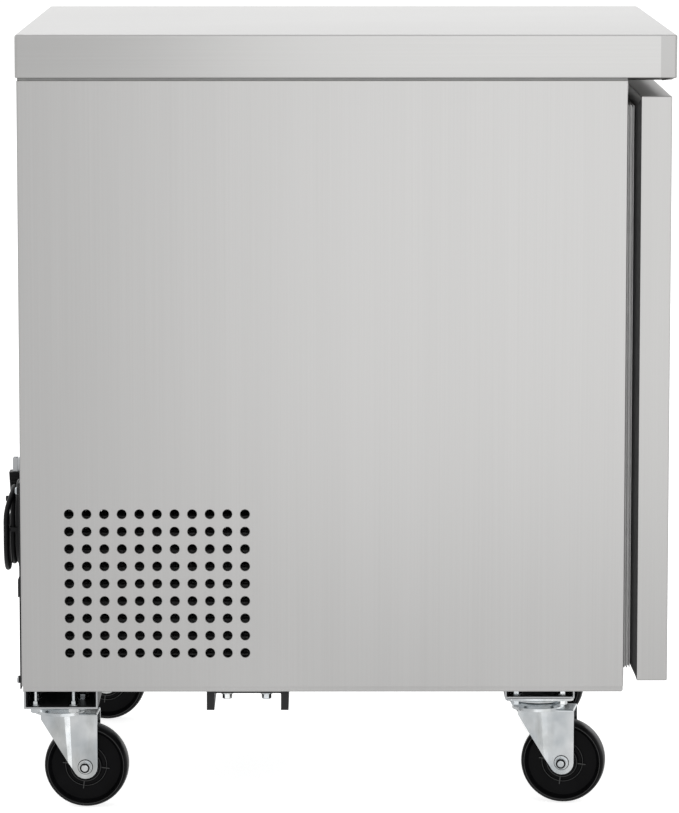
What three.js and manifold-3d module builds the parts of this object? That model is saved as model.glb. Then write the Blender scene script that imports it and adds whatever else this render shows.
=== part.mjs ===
// A one-door refrigerator that stands under a counter on four swivel casters: an insulated stainless cabinet
// with a worktop, a refrigeration unit in a vented compartment at its lower rear, and a hank of mains lead.
// Millimetres. X runs across (the door hinges on +X), -Y is the front and Z is up. The origin is on the floor
// under the middle of the worktop.
import * as THREE from "three";
import { mergeVertices } from "three/addons/utils/BufferGeometryUtils.js";
import Module from "manifold-3d";

// ---- Driving dimensions ----
const width = 698.5; // across the worktop
const depth = 762; // worktop, front to back
const height = 921; // floor to the top of the worktop
const gap = 0.3; // left between pieces that touch
const sheet = 1.2; // stainless and galvanised skins

const worktopThickness = 49.8;
const worktopCorner = 4; // radius of the worktop's upright corners
const seam = 3.4; // sealed joint between the side panels and the worktop
const sideSetback = 1.5; // side panels inside the worktop's sides
const rearSetback = 1.8; // side panels inside the worktop's rear edge
const doorSetback = 5.2; // door front inside the worktop's front edge
const doorThickness = 35.2;
const sealSpace = 15.9; // between the door's rear edge and the cabinet's face
const channelDepth = 23.3; // cross channels between the casters and the cabinet

const sideInsulation = 43;
const floorInsulation = 48;
const topInsulation = 55;
const rearInsulation = 48;
const stepInsulation = 40; // between the inside and the machine compartment
const linerWall = 1;
const breakerDepth = 30;
const breakerWall = 2.4;

const compartmentDepth = 284.2; // machine compartment, from the side panels' rear edge
const compartmentHeight = 236.6; // side panels' lower edge to the compartment's roof

const ventHole = 5.2; // radius
const ventPitch = 20.5;
const ventMargin = 20; // kept free inside the compartment's front wall and roof
const ventRearInset = 56.7; // side panel's rear edge to the first column
const ventBottomInset = 46.4; // side panel's bottom to the first row

const wheelRadius = 50;
const wheelWidth = 32;
const crownClearance = 12; // wheel's top to the underside of the fork's crown
const domeHeight = 7.5; // fork's dome above its crown
const raceGap = 0.6;
const upperRace = 5.4;
const plateThickness = 3;
const plateAcross = 84;
const plateAlong = 81;
const plateCorner = 8;
const trail = 30.5; // king pin to axle
const forkSheet = 2.5;
const axleRadius = 4;
const frontKingpinInset = { side: 114.7, face: 94.4 }; // from the worktop's side and the cabinet's face
const rearKingpinInset = { side: 88.6, rear: 40.9 };
const frontYaw = -9;
const rearYaw = -3;

const doorGapTop = 17.4; // side panel's top edge to the door's top edge
const doorGapBottom = 13.1; // side panel's bottom edge to the door's bottom edge
const hingeInset = 10.5; // door's hinge edge to the pin
const pinRadius = 4;

const cordDiameter = 7;

// ---- Places worked out from them ----
const panelX = width / 2 - sideSetback; // outer face of the side panels
const bodyFront = -depth / 2 + doorSetback + doorThickness + sealSpace;
const bodyRear = depth / 2 - rearSetback;
const bodyTop = height - worktopThickness - seam;
const worktopBottom = height - worktopThickness;
const forkShoulder = 2 * wheelRadius + crownClearance + forkSheet;
const domeTop = forkShoulder + domeHeight;
const plateUnder = domeTop + raceGap + upperRace;
const casterHeight = plateUnder + plateThickness;
const channelTop = casterHeight + gap + channelDepth;
const coreX = panelX - sheet - gap;
const topSheetUnder = worktopBottom - gap - sheet;
const bottomSheetUnder = channelTop + gap;
const underside = bottomSheetUnder - gap - sheet; // lower edge of the side panels
const compartmentTop = underside + compartmentHeight;
const bottomSheetTop = bottomSheetUnder + sheet;
const rearSheetFront = bodyRear - 2 * sheet - gap;
const compartmentWall = bodyRear - compartmentDepth;
const frontKingpin = { inset: frontKingpinInset.side, y: bodyFront + frontKingpinInset.face, yaw: frontYaw };
const rearKingpin = { inset: rearKingpinInset.side, y: bodyRear - rearKingpinInset.rear, yaw: rearYaw };
const doorFront = bodyFront - sealSpace - doorThickness;
const doorRear = doorFront + doorThickness;
const doorTop = bodyTop - doorGapTop;
const doorBottom = underside + doorGapBottom;

// ---- Solids from three.js geometry ----
const wasm = await Module();
wasm.setup();

const solid = (geometry) => {
  const bare = new THREE.BufferGeometry().setAttribute("position", geometry.getAttribute("position"));
  bare.setIndex(geometry.getIndex());
  const merged = mergeVertices(bare, 1e-4);
  return new wasm.Manifold(
    new wasm.Mesh({
      numProp: 3,
      vertProperties: new Float32Array(merged.attributes.position.array),
      triVerts: new Uint32Array(merged.index.array),
    }),
  );
};

const surface = (shape) => {
  const { vertProperties, triVerts } = shape.getMesh();
  return new THREE.BufferGeometry()
    .setAttribute("position", new THREE.BufferAttribute(vertProperties, 3))
    .setIndex(new THREE.BufferAttribute(triVerts, 1));
};

const join = (first, ...others) => others.reduce((all, one) => all.add(one), first);
const cut = (first, ...others) => others.reduce((all, one) => all.subtract(one), first);

const block = ([x0, x1], [y0, y1], [z0, z1]) =>
  solid(
    new THREE.BoxGeometry(x1 - x0, y1 - y0, z1 - z0).translate((x0 + x1) / 2, (y0 + y1) / 2, (z0 + z1) / 2),
  );

const drawn = (points, holes = []) => {
  const shape = new THREE.Shape(points.map(([u, v]) => new THREE.Vector2(u, v)));
  shape.holes = holes;
  return shape;
};

const roundHole = (u, v, radius, sides) => {
  const path = new THREE.Path();
  const corner = (i) => [
    u + radius * Math.cos((2 * Math.PI * i) / sides),
    v + radius * Math.sin((2 * Math.PI * i) / sides),
  ];
  path.moveTo(...corner(0));
  for (let i = 1; i < sides; i++) path.lineTo(...corner(i));
  path.closePath();
  return path;
};

const roundedRectangle = ([u0, u1], [v0, v1], r) => {
  const shape = new THREE.Shape();
  shape.moveTo(u0 + r, v0);
  shape.lineTo(u1 - r, v0);
  shape.absarc(u1 - r, v0 + r, r, -Math.PI / 2, 0);
  shape.lineTo(u1, v1 - r);
  shape.absarc(u1 - r, v1 - r, r, 0, Math.PI / 2);
  shape.lineTo(u0 + r, v1);
  shape.absarc(u0 + r, v1 - r, r, Math.PI / 2, Math.PI);
  shape.lineTo(u0, v0 + r);
  shape.absarc(u0 + r, v0 + r, r, Math.PI, 1.5 * Math.PI);
  return shape;
};

// An outline's own plane is (u, v); it is pushed along the third axis from one place to another.
const pushed = (shape, from, to, curveSegments) => {
  const options = { depth: to - from, bevelEnabled: false, curveSegments };
  return new THREE.ExtrudeGeometry(shape, options).translate(0, 0, from);
};
const alongZ = (shape, from, to, curveSegments = 4) => solid(pushed(shape, from, to, curveSegments));
const toX = new THREE.Matrix4().set(0, 0, 1, 0, 1, 0, 0, 0, 0, 1, 0, 0, 0, 0, 0, 1);
const alongX = (shape, from, to, curveSegments = 4) =>
  solid(pushed(shape, from, to, curveSegments).applyMatrix4(toX));
const toY = new THREE.Matrix4().set(1, 0, 0, 0, 0, 0, -1, 0, 0, 1, 0, 0, 0, 0, 0, 1);
const alongY = (shape, from, to, curveSegments = 4) =>
  solid(pushed(shape, -to, -from, curveSegments).applyMatrix4(toY));

const turnTo = {
  x: (geometry) => geometry.rotateZ(-Math.PI / 2),
  y: (geometry) => geometry,
  z: (geometry) => geometry.rotateX(Math.PI / 2),
};

const rod = (axis, radius, [from, to], centre, sides = 16, endRadius = radius) => {
  const along = new THREE.CylinderGeometry(endRadius, radius, to - from, sides);
  along.translate(0, (from + to) / 2, 0);
  const [a, b] = centre;
  const place = { x: [0, a, b], y: [a, 0, b], z: [a, b, 0] }[axis];
  return solid(turnTo[axis](along).translate(...place));
};

// A profile of (radius, distance along the axis), from the axis and back to it.
const turned = (axis, profile, centre, segments = 24) => {
  const points = profile.map(([r, along]) => new THREE.Vector2(r, along));
  const [a, b] = centre;
  const place = { x: [0, a, b], y: [a, 0, b], z: [a, b, 0] }[axis];
  return solid(turnTo[axis](new THREE.LatheGeometry(points, segments)).translate(...place));
};

const tube = (points, radius, sides, steps) => {
  const path = new THREE.CatmullRomCurve3(points.map((p) => new THREE.Vector3(...p)));
  const section = drawn(
    Array.from({ length: sides }, (_, i) => [
      radius * Math.cos((2 * Math.PI * i) / sides),
      radius * Math.sin((2 * Math.PI * i) / sides),
    ]),
  );
  return solid(new THREE.ExtrudeGeometry(section, { steps, extrudePath: path, bevelEnabled: false }));
};

// ---- Finishes ----
const finish = (color, roughness, metalness) =>
  new THREE.MeshStandardMaterial({ color, roughness, metalness });
const stainless = finish(0xc8c8c6, 0.35, 1);
const galvanised = finish(0xb4b8b8, 0.5, 1);
const zinc = finish(0xd5dadb, 0.3, 1);
const blackSteel = finish(0x141516, 0.5, 0.2);
const blackPlastic = finish(0x0b0c0d, 0.4, 0);
const greyPlastic = finish(0x9a9c9c, 0.5, 0);
const whitePlastic = finish(0xe6e6e2, 0.5, 0);
const foam = finish(0xd9cda0, 0.9, 0);
const aluminium = finish(0xc9cdcf, 0.4, 1);
const copper = finish(0xb87346, 0.35, 1);
const cable = finish(0x101112, 0.6, 0);

const fridge = new THREE.Group();
const place = (name, shape, material, group = fridge) => {
  const mesh = new THREE.Mesh(surface(shape), material);
  mesh.name = name;
  group.add(mesh);
  return mesh;
};

// ---- Worktop: a folded pan over a core board ----
const worktopSheet = 1.5;
const worktopLip = 18;
const worktopEdge = (inset, r) =>
  roundedRectangle([-width / 2 + inset, width / 2 - inset], [-depth / 2 + inset, depth / 2 - inset], r);
place(
  "worktop",
  cut(
    alongZ(worktopEdge(0, worktopCorner), worktopBottom, height),
    alongZ(
      worktopEdge(worktopSheet, worktopCorner - worktopSheet),
      worktopBottom + worktopSheet,
      height - worktopSheet,
    ),
    alongZ(worktopEdge(worktopLip, 1), worktopBottom - 1, worktopBottom + worktopSheet + 1),
  ),
  stainless,
);
place(
  "worktop_core",
  alongZ(
    worktopEdge(worktopSheet + gap, worktopCorner - worktopSheet - gap),
    worktopBottom + worktopSheet + gap,
    height - worktopSheet - gap,
  ),
  foam,
);

// ---- Side panels: folded returns at the front, rear and bottom, vent holes beside the compressor ----
const frontReturn = 9;
const rearReturn = 14;
const bottomReturn = 8;
const ventCount = (room, inset) => 1 + Math.floor((room - inset - ventMargin) / ventPitch);
const ventColumns = ventCount(compartmentDepth, ventRearInset);
const ventRows = ventCount(compartmentHeight, ventBottomInset);
const ventGrid = [];
for (let column = 0; column < ventColumns; column++) {
  for (let row = 0; row < ventRows; row++) {
    const y = bodyRear - ventRearInset - column * ventPitch;
    const z = underside + ventBottomInset + row * ventPitch;
    ventGrid.push(roundHole(y, z, ventHole, 6));
  }
}
for (const side of [-1, 1]) {
  const across = (...inset) => inset.map((d) => side * (panelX - d)).sort((a, b) => a - b);
  const face = drawn(
    [
      [bodyFront, underside],
      [bodyRear, underside],
      [bodyRear, bodyTop],
      [bodyFront, bodyTop],
    ],
    ventGrid,
  );
  place(
    side < 0 ? "left_side_panel" : "right_side_panel",
    join(
      alongX(face, ...across(0, sheet)),
      block(across(0, frontReturn), [bodyFront, bodyFront + sheet], [underside, bodyTop]),
      block(across(0, rearReturn), [bodyRear - sheet, bodyRear], [underside, bodyTop]),
      block(across(0, bottomReturn), [bodyFront, bodyRear], [underside, underside + sheet]),
    ),
    stainless,
  );
}

// ---- Skins that close the insulated body ----
const topSheetFront = bodyFront + sheet + gap;
place(
  "top_panel",
  block([-coreX, coreX], [topSheetFront, rearSheetFront + sheet], [topSheetUnder, topSheetUnder + sheet]),
  galvanised,
);
place(
  "rear_panel",
  block(
    [-coreX, coreX],
    [rearSheetFront, rearSheetFront + sheet],
    [compartmentTop + gap, topSheetUnder - gap],
  ),
  galvanised,
);
place(
  "bottom_panel",
  block([-coreX, coreX], [topSheetFront, compartmentWall - gap], [bottomSheetUnder, bottomSheetTop]),
  galvanised,
);
const compartmentRear = rearSheetFront + sheet;
place(
  "compartment_wall",
  alongX(
    drawn([
      [compartmentWall, bottomSheetUnder],
      [compartmentWall + sheet, bottomSheetUnder],
      [compartmentWall + sheet, compartmentTop - sheet],
      [compartmentRear, compartmentTop - sheet],
      [compartmentRear, compartmentTop],
      [compartmentWall, compartmentTop],
    ]),
    -coreX,
    coreX,
  ),
  galvanised,
);

// ---- Insulation and liner: an L from the side, stepped over the machine compartment ----
const stepped = ({ front, bottom, wall, step, rear, top }) =>
  drawn([
    [front, bottom],
    [wall, bottom],
    [wall, step],
    [rear, step],
    [rear, top],
    [front, top],
  ]);
const core = {
  front: topSheetFront,
  bottom: bottomSheetTop + gap,
  wall: compartmentWall - gap,
  step: compartmentTop + gap,
  rear: rearSheetFront - gap,
  top: topSheetUnder - gap,
};
const hollowInset = (d) => ({
  front: core.front - 1,
  bottom: core.bottom + floorInsulation + d,
  wall: core.wall - stepInsulation - d,
  step: core.step + stepInsulation + d,
  rear: core.rear - rearInsulation - d,
  top: core.top - topInsulation - d,
});
const hollowX = coreX - sideInsulation;
place(
  "insulation",
  cut(alongX(stepped(core), -coreX, coreX), alongX(stepped(hollowInset(0)), -hollowX, hollowX)),
  foam,
);
const linerFront = bodyFront + breakerDepth + gap;
const linerOutside = { ...hollowInset(gap), front: linerFront };
const linerInside = { ...hollowInset(gap + linerWall), front: linerFront - 1 };
const linerX = hollowX - gap;
const insideX = linerX - linerWall;
place(
  "inner_liner",
  cut(
    alongX(stepped(linerOutside), -linerX, linerX),
    alongX(stepped(linerInside), -insideX, insideX),
  ),
  aluminium,
);

// ---- Face frame and breaker strip round the opening ----
const openingBottom = linerOutside.bottom;
const openingTop = linerOutside.top;
const rectangle = ([u0, u1], [v0, v1]) =>
  drawn([
    [u0, v0],
    [u1, v0],
    [u1, v1],
    [u0, v1],
  ]);
const frameX = panelX - frontReturn - gap;
place(
  "front_frame",
  cut(
    alongY(rectangle([-frameX, frameX], [underside, bodyTop]), bodyFront, bodyFront + sheet),
    block([-hollowX, hollowX], [bodyFront - 1, bodyFront + 3], [openingBottom - gap, openingTop + gap]),
  ),
  stainless,
);
place(
  "breaker_strip",
  cut(
    alongY(rectangle([-linerX, linerX], [openingBottom, openingTop]), bodyFront, bodyFront + breakerDepth),
    alongY(
      rectangle(
        [-linerX + breakerWall, linerX - breakerWall],
        [openingBottom + breakerWall, openingTop - breakerWall],
      ),
      bodyFront - 1,
      bodyFront + breakerDepth + 1,
    ),
  ),
  whitePlastic,
);

// ---- Cross channels under the cabinet ----
const channelSheet = 2.5;
const channelWeb = casterHeight + gap;
const channel = (y0, y1, inset) => {
  const x = width / 2 - inset;
  const between = [y0 + channelSheet, y1 - channelSheet];
  return cut(
    block([-x, x], [y0, y1], [channelWeb, channelTop]),
    block([-x - 1, x + 1], between, [channelWeb + channelSheet, channelTop + 1]),
  );
};
const frontChannelWidth = 83;
const rearChannelWidth = 86.8;
const rearChannelOffset = 4.3; // its middle lies in front of the rear king pins
place(
  "front_caster_channel",
  channel(frontKingpin.y - frontChannelWidth / 2, frontKingpin.y + frontChannelWidth / 2, 72),
  blackSteel,
);
const rearChannelMiddle = rearKingpin.y - rearChannelOffset;
place(
  "rear_caster_channel",
  channel(rearChannelMiddle - rearChannelWidth / 2, rearChannelMiddle + rearChannelWidth / 2, 10),
  blackSteel,
);
const saddle = { y: compartmentWall + 20, width: 96, drop: 24.6, leg: 9, web: 4.5, inset: 10 };
const saddleX = width / 2 - saddle.inset;
place(
  "centre_channel",
  cut(
    block(
      [-saddleX, saddleX],
      [saddle.y - saddle.width / 2, saddle.y + saddle.width / 2],
      [channelTop - saddle.drop, channelTop],
    ),
    block(
      [-saddleX - 1, saddleX + 1],
      [saddle.y - saddle.width / 2 + saddle.leg, saddle.y + saddle.width / 2 - saddle.leg],
      [channelTop - saddle.drop - 1, channelTop - saddle.web],
    ),
  ),
  blackSteel,
);

// ---- Casters: each is drawn about its king pin and set in place by a turned group ----
const domeRadius = 31;
const kingpinRadius = 6;
const kingpinHead = 5;
const crownUnder = forkShoulder - forkSheet;
const forkInside = wheelWidth / 2 + 2.5;
const forkOutside = forkInside + forkSheet;
const legTip = 14.5; // radius of the leg round the axle
const legBack = 22.4; // leg's rear top corner behind the king pin

const casterPlate = () =>
  join(
    alongZ(
      roundedRectangle([-plateAcross / 2, plateAcross / 2], [-plateAlong / 2, plateAlong / 2], plateCorner),
      plateUnder,
      casterHeight,
    ),
    rod("z", 22, [domeTop + raceGap, plateUnder + 1], [0, 0], 20),
    rod("z", kingpinRadius, [crownUnder - kingpinHead, plateUnder + 1], [0, 0], 12),
    rod("z", 10, [crownUnder - raceGap - kingpinHead, crownUnder - raceGap], [0, 0], 12),
  );

const casterFork = () => {
  const leg = new THREE.Shape();
  const slope = Math.atan2(legBack + trail, forkShoulder - 5 - wheelRadius);
  leg.moveTo(legBack, forkShoulder);
  leg.lineTo(-trail - legTip, forkShoulder);
  leg.lineTo(-trail - legTip, wheelRadius);
  leg.absarc(-trail, wheelRadius, legTip, Math.PI, 2 * Math.PI - slope / 2);
  leg.lineTo(legBack, forkShoulder - 5);
  const legs = [alongX(leg, -forkOutside, -forkInside, 5), alongX(leg, forkInside, forkOutside, 5)];
  const crown = block([-forkOutside, forkOutside], [-trail - legTip, legBack], [crownUnder, forkShoulder]);
  const dome = rod("z", domeRadius, [crownUnder, domeTop], [0, 0], 20, domeRadius - 6);
  return cut(
    join(...legs, crown, dome),
    rod("z", kingpinRadius + raceGap, [forkShoulder - 5, domeTop + 1], [0, 0], 12),
    rod("x", axleRadius + gap, [-forkOutside - 1, forkOutside + 1], [-trail, wheelRadius], 12),
  );
};

const hubRadius = 18;
const rimInside = 43;
const webRecess = 9; // rim's side face to the web between rim and hub
const casterWheel = () => {
  const half = wheelWidth / 2;
  const nearSide = [
    [axleRadius + gap, -half],
    [hubRadius, -half],
    [hubRadius + 2, -half + webRecess],
    [rimInside, -half + webRecess],
    [rimInside + 1, -half + 1],
    [wheelRadius - 2, -half],
    [wheelRadius, -half + 5],
  ];
  const farSide = nearSide.map(([r, x]) => [r, -x]).reverse();
  return turned("x", [...nearSide, ...farSide, nearSide[0]], [-trail, wheelRadius], 24);
};

const casterAxle = () =>
  join(
    rod("x", axleRadius, [-forkOutside - 6, forkOutside + 7], [-trail, wheelRadius], 12),
    rod("x", 7, [-forkOutside - gap - 5, -forkOutside - gap], [-trail, wheelRadius], 6),
    rod("x", 7, [forkOutside + gap, forkOutside + gap + 6], [-trail, wheelRadius], 6),
  );

const corners = [
  ["front_left", frontKingpin, -1],
  ["front_right", frontKingpin, 1],
  ["rear_left", rearKingpin, -1],
  ["rear_right", rearKingpin, 1],
];
for (const [corner, kingpin, side] of corners) {
  const fixed = new THREE.Group();
  fixed.position.set(side * (width / 2 - kingpin.inset), kingpin.y, 0);
  fridge.add(fixed);
  place(`${corner}_caster_plate`, casterPlate(), zinc, fixed);
  const swivel = new THREE.Group();
  swivel.rotation.z = THREE.MathUtils.degToRad(kingpin.yaw);
  fixed.add(swivel);
  place(`${corner}_caster_fork`, casterFork(), zinc, swivel);
  place(`${corner}_caster_axle`, casterAxle(), zinc, swivel);
  place(`${corner}_caster_wheel`, casterWheel(), blackPlastic, swivel);
}

// ---- Door: stainless skin on foam, a chamfered plastic liner behind it, a gasket on the liner ----
const grip = {
  x: [-panelX + 17.75, -panelX + 62.75],
  z: [doorTop - 290, doorTop - 150],
  depth: 24,
  wall: 2,
  flange: 5,
};
const boss = { radius: 8, length: 12 };
const hingeX = panelX - hingeInset;
const hingeY = doorFront + doorThickness / 2;
const gripHole = (clearance) =>
  rectangle([grip.x[0] - clearance, grip.x[1] + clearance], [grip.z[0] - clearance, grip.z[1] + clearance]);
const skinInside = block(
  [-panelX + sheet, panelX - sheet],
  [doorFront + sheet, doorRear + 1],
  [doorBottom + sheet, doorTop - sheet],
);
place(
  "door_skin",
  cut(
    join(
      cut(block([-panelX, panelX], [doorFront, doorRear], [doorBottom, doorTop]), skinInside),
      rod("z", boss.radius, [doorBottom, doorBottom + boss.length], [hingeX, hingeY], 12),
      rod("z", boss.radius, [doorTop - boss.length, doorTop], [hingeX, hingeY], 12),
    ),
    rod("z", pinRadius + gap, [doorBottom - 1, doorBottom + boss.length + 1], [hingeX, hingeY], 12),
    rod("z", pinRadius + gap, [doorTop - boss.length - 1, doorTop + 1], [hingeX, hingeY], 12),
    alongY(gripHole(gap), doorFront - 1, doorFront + sheet + 1),
  ),
  stainless,
);
const linerPlane = doorRear - gap; // where the door's plastic liner starts
place(
  "door_foam",
  cut(
    block(
      [-panelX + sheet + gap, panelX - sheet - gap],
      [doorFront + sheet + gap, linerPlane - 2 * gap],
      [doorBottom + sheet + gap, doorTop - sheet - gap],
    ),
    rod("z", boss.radius + gap, [doorBottom - 1, doorBottom + boss.length + gap], [hingeX, hingeY], 12),
    rod("z", boss.radius + gap, [doorTop - boss.length - gap, doorTop + 1], [hingeX, hingeY], 12),
    alongY(gripHole(gap), doorFront - 1, doorFront + grip.depth + gap),
  ),
  foam,
);
const chamferIn = 15.6;
const chamferOut = 7.5;
const linerSlab = 0.6; // straight edge below the chamfer, inside the skin
const linerRear = doorRear + chamferOut;
const linerOutline = (edge0, edge1) => [
  [edge0, linerPlane - gap],
  [edge1, linerPlane - gap],
  [edge1, linerPlane + linerSlab - gap],
  [edge1 - chamferIn, linerRear],
  [edge0 + chamferIn, linerRear],
  [edge0, linerPlane + linerSlab - gap],
];
const linerEdgeX = panelX - sheet - gap;
const linerEdgeZ = [doorBottom + sheet + gap, doorTop - sheet - gap];
const dish = { inset: 46, depth: 5 };
place(
  "door_liner",
  cut(
    alongZ(drawn(linerOutline(-linerEdgeX, linerEdgeX)), ...linerEdgeZ).intersect(
      alongX(drawn(linerOutline(...linerEdgeZ).map(([z, y]) => [y, z]).reverse()), -linerEdgeX, linerEdgeX),
    ),
    block(
      [-panelX + dish.inset, panelX - dish.inset],
      [linerRear - dish.depth, linerRear + 1],
      [doorBottom + dish.inset, doorTop - dish.inset],
    ),
  ),
  blackPlastic,
);
const gasket = { width: 24, side: 12.5, bottom: 13.3, top: 10.9 };
const gasketX = panelX - gasket.side;
const gasketZ = [doorBottom + gasket.bottom, doorTop - gasket.top];
place(
  "door_gasket",
  cut(
    alongY(rectangle([-gasketX, gasketX], gasketZ), linerRear + gap, bodyFront - gap),
    alongY(
      rectangle(
        [-gasketX + gasket.width, gasketX - gasket.width],
        [gasketZ[0] + gasket.width, gasketZ[1] - gasket.width],
      ),
      linerRear - 1,
      bodyFront + 1,
    ),
  ),
  greyPlastic,
);
const gripInner = rectangle(
  [grip.x[0] + grip.wall, grip.x[1] - grip.wall],
  [grip.z[0] + grip.wall, grip.z[1] - grip.wall],
);
place(
  "door_handle_cup",
  cut(
    join(
      alongY(gripHole(0), doorFront - gap - 1, doorFront + grip.depth),
      alongY(gripHole(grip.flange), doorFront - gap - 1.5, doorFront - gap),
    ),
    alongY(gripInner, doorFront - 3, doorFront + grip.depth - grip.wall),
  ),
  greyPlastic,
);

// ---- Hinge brackets: an angle on the cabinet's face with a pin into the door's edge ----
const bracket = { plate: 3, inner: 42, clear: 3, upright: 12, front: 12 };
const hingeBracket = (doorEdge, away) => {
  const near = doorEdge + away * bracket.clear;
  const far = near + away * bracket.plate;
  const span = (a, b) => [Math.min(a, b), Math.max(a, b)];
  const x = [panelX - bracket.inner, panelX - 1];
  return join(
    block(x, [hingeY - bracket.front, bodyFront - gap], span(near, far)),
    block(x, [bodyFront - gap - bracket.plate, bodyFront - gap], span(near, near + away * bracket.upright)),
    rod("z", pinRadius, span(far, doorEdge - away * (boss.length - 2)), [hingeX, hingeY], 12),
    rod("z", pinRadius + 3, span(near, doorEdge + away * gap), [hingeX, hingeY], 12),
  );
};
place("top_hinge_bracket", hingeBracket(doorTop, 1), zinc);
place("bottom_hinge_bracket", hingeBracket(doorBottom, -1), zinc);

// ---- Evaporator behind its cover, above the step ----
const shelfFloor = linerInside.step;
const rearWall = linerInside.rear;
const coil = {
  x: [-190, 40],
  y: [rearWall - 68, rearWall - 8],
  z: [shelfFloor + 28, shelfFloor + 168],
  fins: 12,
};
const finned = ([u0, u1], [v0, v1], count, thickness, backing) => {
  const pitch = (u1 - u0 - thickness) / (count - 1);
  const points = [[u0, v1]];
  for (let i = 0; i < count; i++) {
    const u = u0 + i * pitch;
    points.push([u, v0], [u + thickness, v0]);
    if (i < count - 1) points.push([u + thickness, v1 - backing], [u + pitch, v1 - backing]);
  }
  points.push([u1, v1]);
  return drawn(points);
};
const fanCentre = { x: 122, z: shelfFloor + 100 };
place(
  "evaporator",
  join(
    alongZ(finned(coil.x, coil.y, coil.fins, 4, 6), ...coil.z),
    block(
      [coil.x[1] - 5, fanCentre.x + 20],
      [coil.y[1] - 3, coil.y[1]],
      [fanCentre.z - 30, fanCentre.z + 30],
    ),
    rod("y", 26, [coil.y[0] + 6, coil.y[1] - 1], [fanCentre.x, fanCentre.z], 16),
    rod("y", 3, [coil.y[0] - 8, coil.y[0] + 7], [fanCentre.x, fanCentre.z], 8),
  ),
  aluminium,
);

// A fan: a hub bored for its shaft, with pitched blades.
const fan = (axis, bladeRadius, hub, hubSpan, blades, centre, shaft) => {
  const middle = (hubSpan[0] + hubSpan[1]) / 2;
  const chord = 0.42 * bladeRadius;
  const shape = join(
    rod("y", hub, hubSpan, [0, 0], 16),
    ...Array.from({ length: blades }, (_, i) =>
      solid(
        new THREE.BoxGeometry(chord, 2, bladeRadius - hub + 3)
          .rotateZ(0.5)
          .translate(0, middle, (bladeRadius + hub - 3) / 2)
          .rotateY((2 * Math.PI * i) / blades),
      ),
    ),
  );
  const bored = cut(shape, rod("y", shaft + gap, [hubSpan[0] + 4, hubSpan[1] + 1], [0, 0], 8));
  const [a, b] = centre;
  return axis === "y" ? bored.translate([a, 0, b]) : bored.rotate([0, 0, -90]).translate([0, a, b]);
};
const evaporatorHub = [coil.y[0] - 14, coil.y[0] + 4];
place(
  "evaporator_fan",
  fan("y", 66, 18, evaporatorHub, 5, [fanCentre.x, fanCentre.z], 3),
  blackPlastic,
);
const coverPan = { x: 214, front: coil.y[0] - 26, z: [shelfFloor + 14, shelfFloor + 190], wall: 2 };
const intake = Array.from({ length: 7 }, (_, i) => {
  const slotBottom = coil.z[0] + 10 + 13 * i;
  return block([-176, 26], [coverPan.front - 1, coverPan.front + 3], [slotBottom, slotBottom + 5]);
});
place(
  "evaporator_cover",
  cut(
    block([-coverPan.x, coverPan.x], [coverPan.front, rearWall - gap], coverPan.z),
    block(
      [-coverPan.x + coverPan.wall, coverPan.x - coverPan.wall],
      [coverPan.front + coverPan.wall, rearWall + 1],
      [coverPan.z[0] + coverPan.wall, coverPan.z[1] - coverPan.wall],
    ),
    rod("y", 70, [coverPan.front - 1, coverPan.front + 3], [fanCentre.x, fanCentre.z], 24),
    ...intake,
  ),
  whitePlastic,
);
const knob = { x: -150, z: coverPan.z[1] - 32, radius: 19, depth: 16 };
place(
  "thermostat_knob",
  join(
    rod("y", knob.radius, [coverPan.front - gap - knob.depth, coverPan.front - gap], [knob.x, knob.z], 20),
    block(
      [knob.x - 3, knob.x + 3],
      [coverPan.front - gap - knob.depth - 4, coverPan.front - gap - knob.depth + 1],
      [knob.z - knob.radius + 2, knob.z + knob.radius - 2],
    ),
  ),
  blackPlastic,
);

// ---- Shelf and the racks that hold it ----
const rackDepth = 10;
const rackStrip = 18;
const rackLedge = 24;
const shelfUnder = shelfFloor + 66;
const rackFoot = linerInside.bottom + 8;
const rackHead = linerInside.top - 8;
const shelfFront = bodyFront + breakerDepth + 12;
const shelfRear = coverPan.front - 14;
for (const side of [-1, 1]) {
  const reach = (d) => [side * (insideX - gap), side * (insideX - gap - d)].sort((a, b) => a - b);
  const across = reach(rackDepth);
  const ledge = reach(rackLedge);
  const strip = (y, foot) => block(across, [y, y + rackStrip], [foot, rackHead]);
  const frontStrip = shelfFront + 40;
  const rearStrip = shelfRear - 40 - rackStrip;
  place(
    side < 0 ? "left_shelf_rack" : "right_shelf_rack",
    join(
      strip(frontStrip, rackFoot),
      strip(rearStrip, shelfFloor + 8),
      block(ledge, [frontStrip, rearStrip + rackStrip], [shelfUnder - gap - 3, shelfUnder - gap]),
    ),
    stainless,
  );
}
const wire = 3;
const frameWire = 5;
const shelfX = insideX - gap - rackDepth - 1.5;
const wirePitch = 32;
const wireCount = Math.floor((2 * shelfX - frameWire) / wirePitch);
const lengthwise = (x, thickness, z) =>
  block([x - thickness / 2, x + thickness / 2], [shelfFront, shelfRear], z);
const wires = Array.from({ length: wireCount - 1 }, (_, i) =>
  lengthwise(-shelfX + frameWire / 2 + ((2 * shelfX - frameWire) * (i + 1)) / wireCount, wire, [
    shelfUnder + frameWire - 0.5,
    shelfUnder + frameWire + wire - 0.5,
  ]),
);
const edges = [-1, 1].map((side) =>
  lengthwise(side * (shelfX - frameWire / 2), frameWire, [shelfUnder, shelfUnder + frameWire]),
);
const crossBars = Array.from({ length: 4 }, (_, i) => {
  const y = shelfFront + ((shelfRear - shelfFront - frameWire) * i) / 3;
  return block([-shelfX + 1, shelfX - 1], [y, y + frameWire], [shelfUnder, shelfUnder + frameWire]);
});
place("wire_shelf", join(...crossBars, ...edges, ...wires), stainless);

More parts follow.
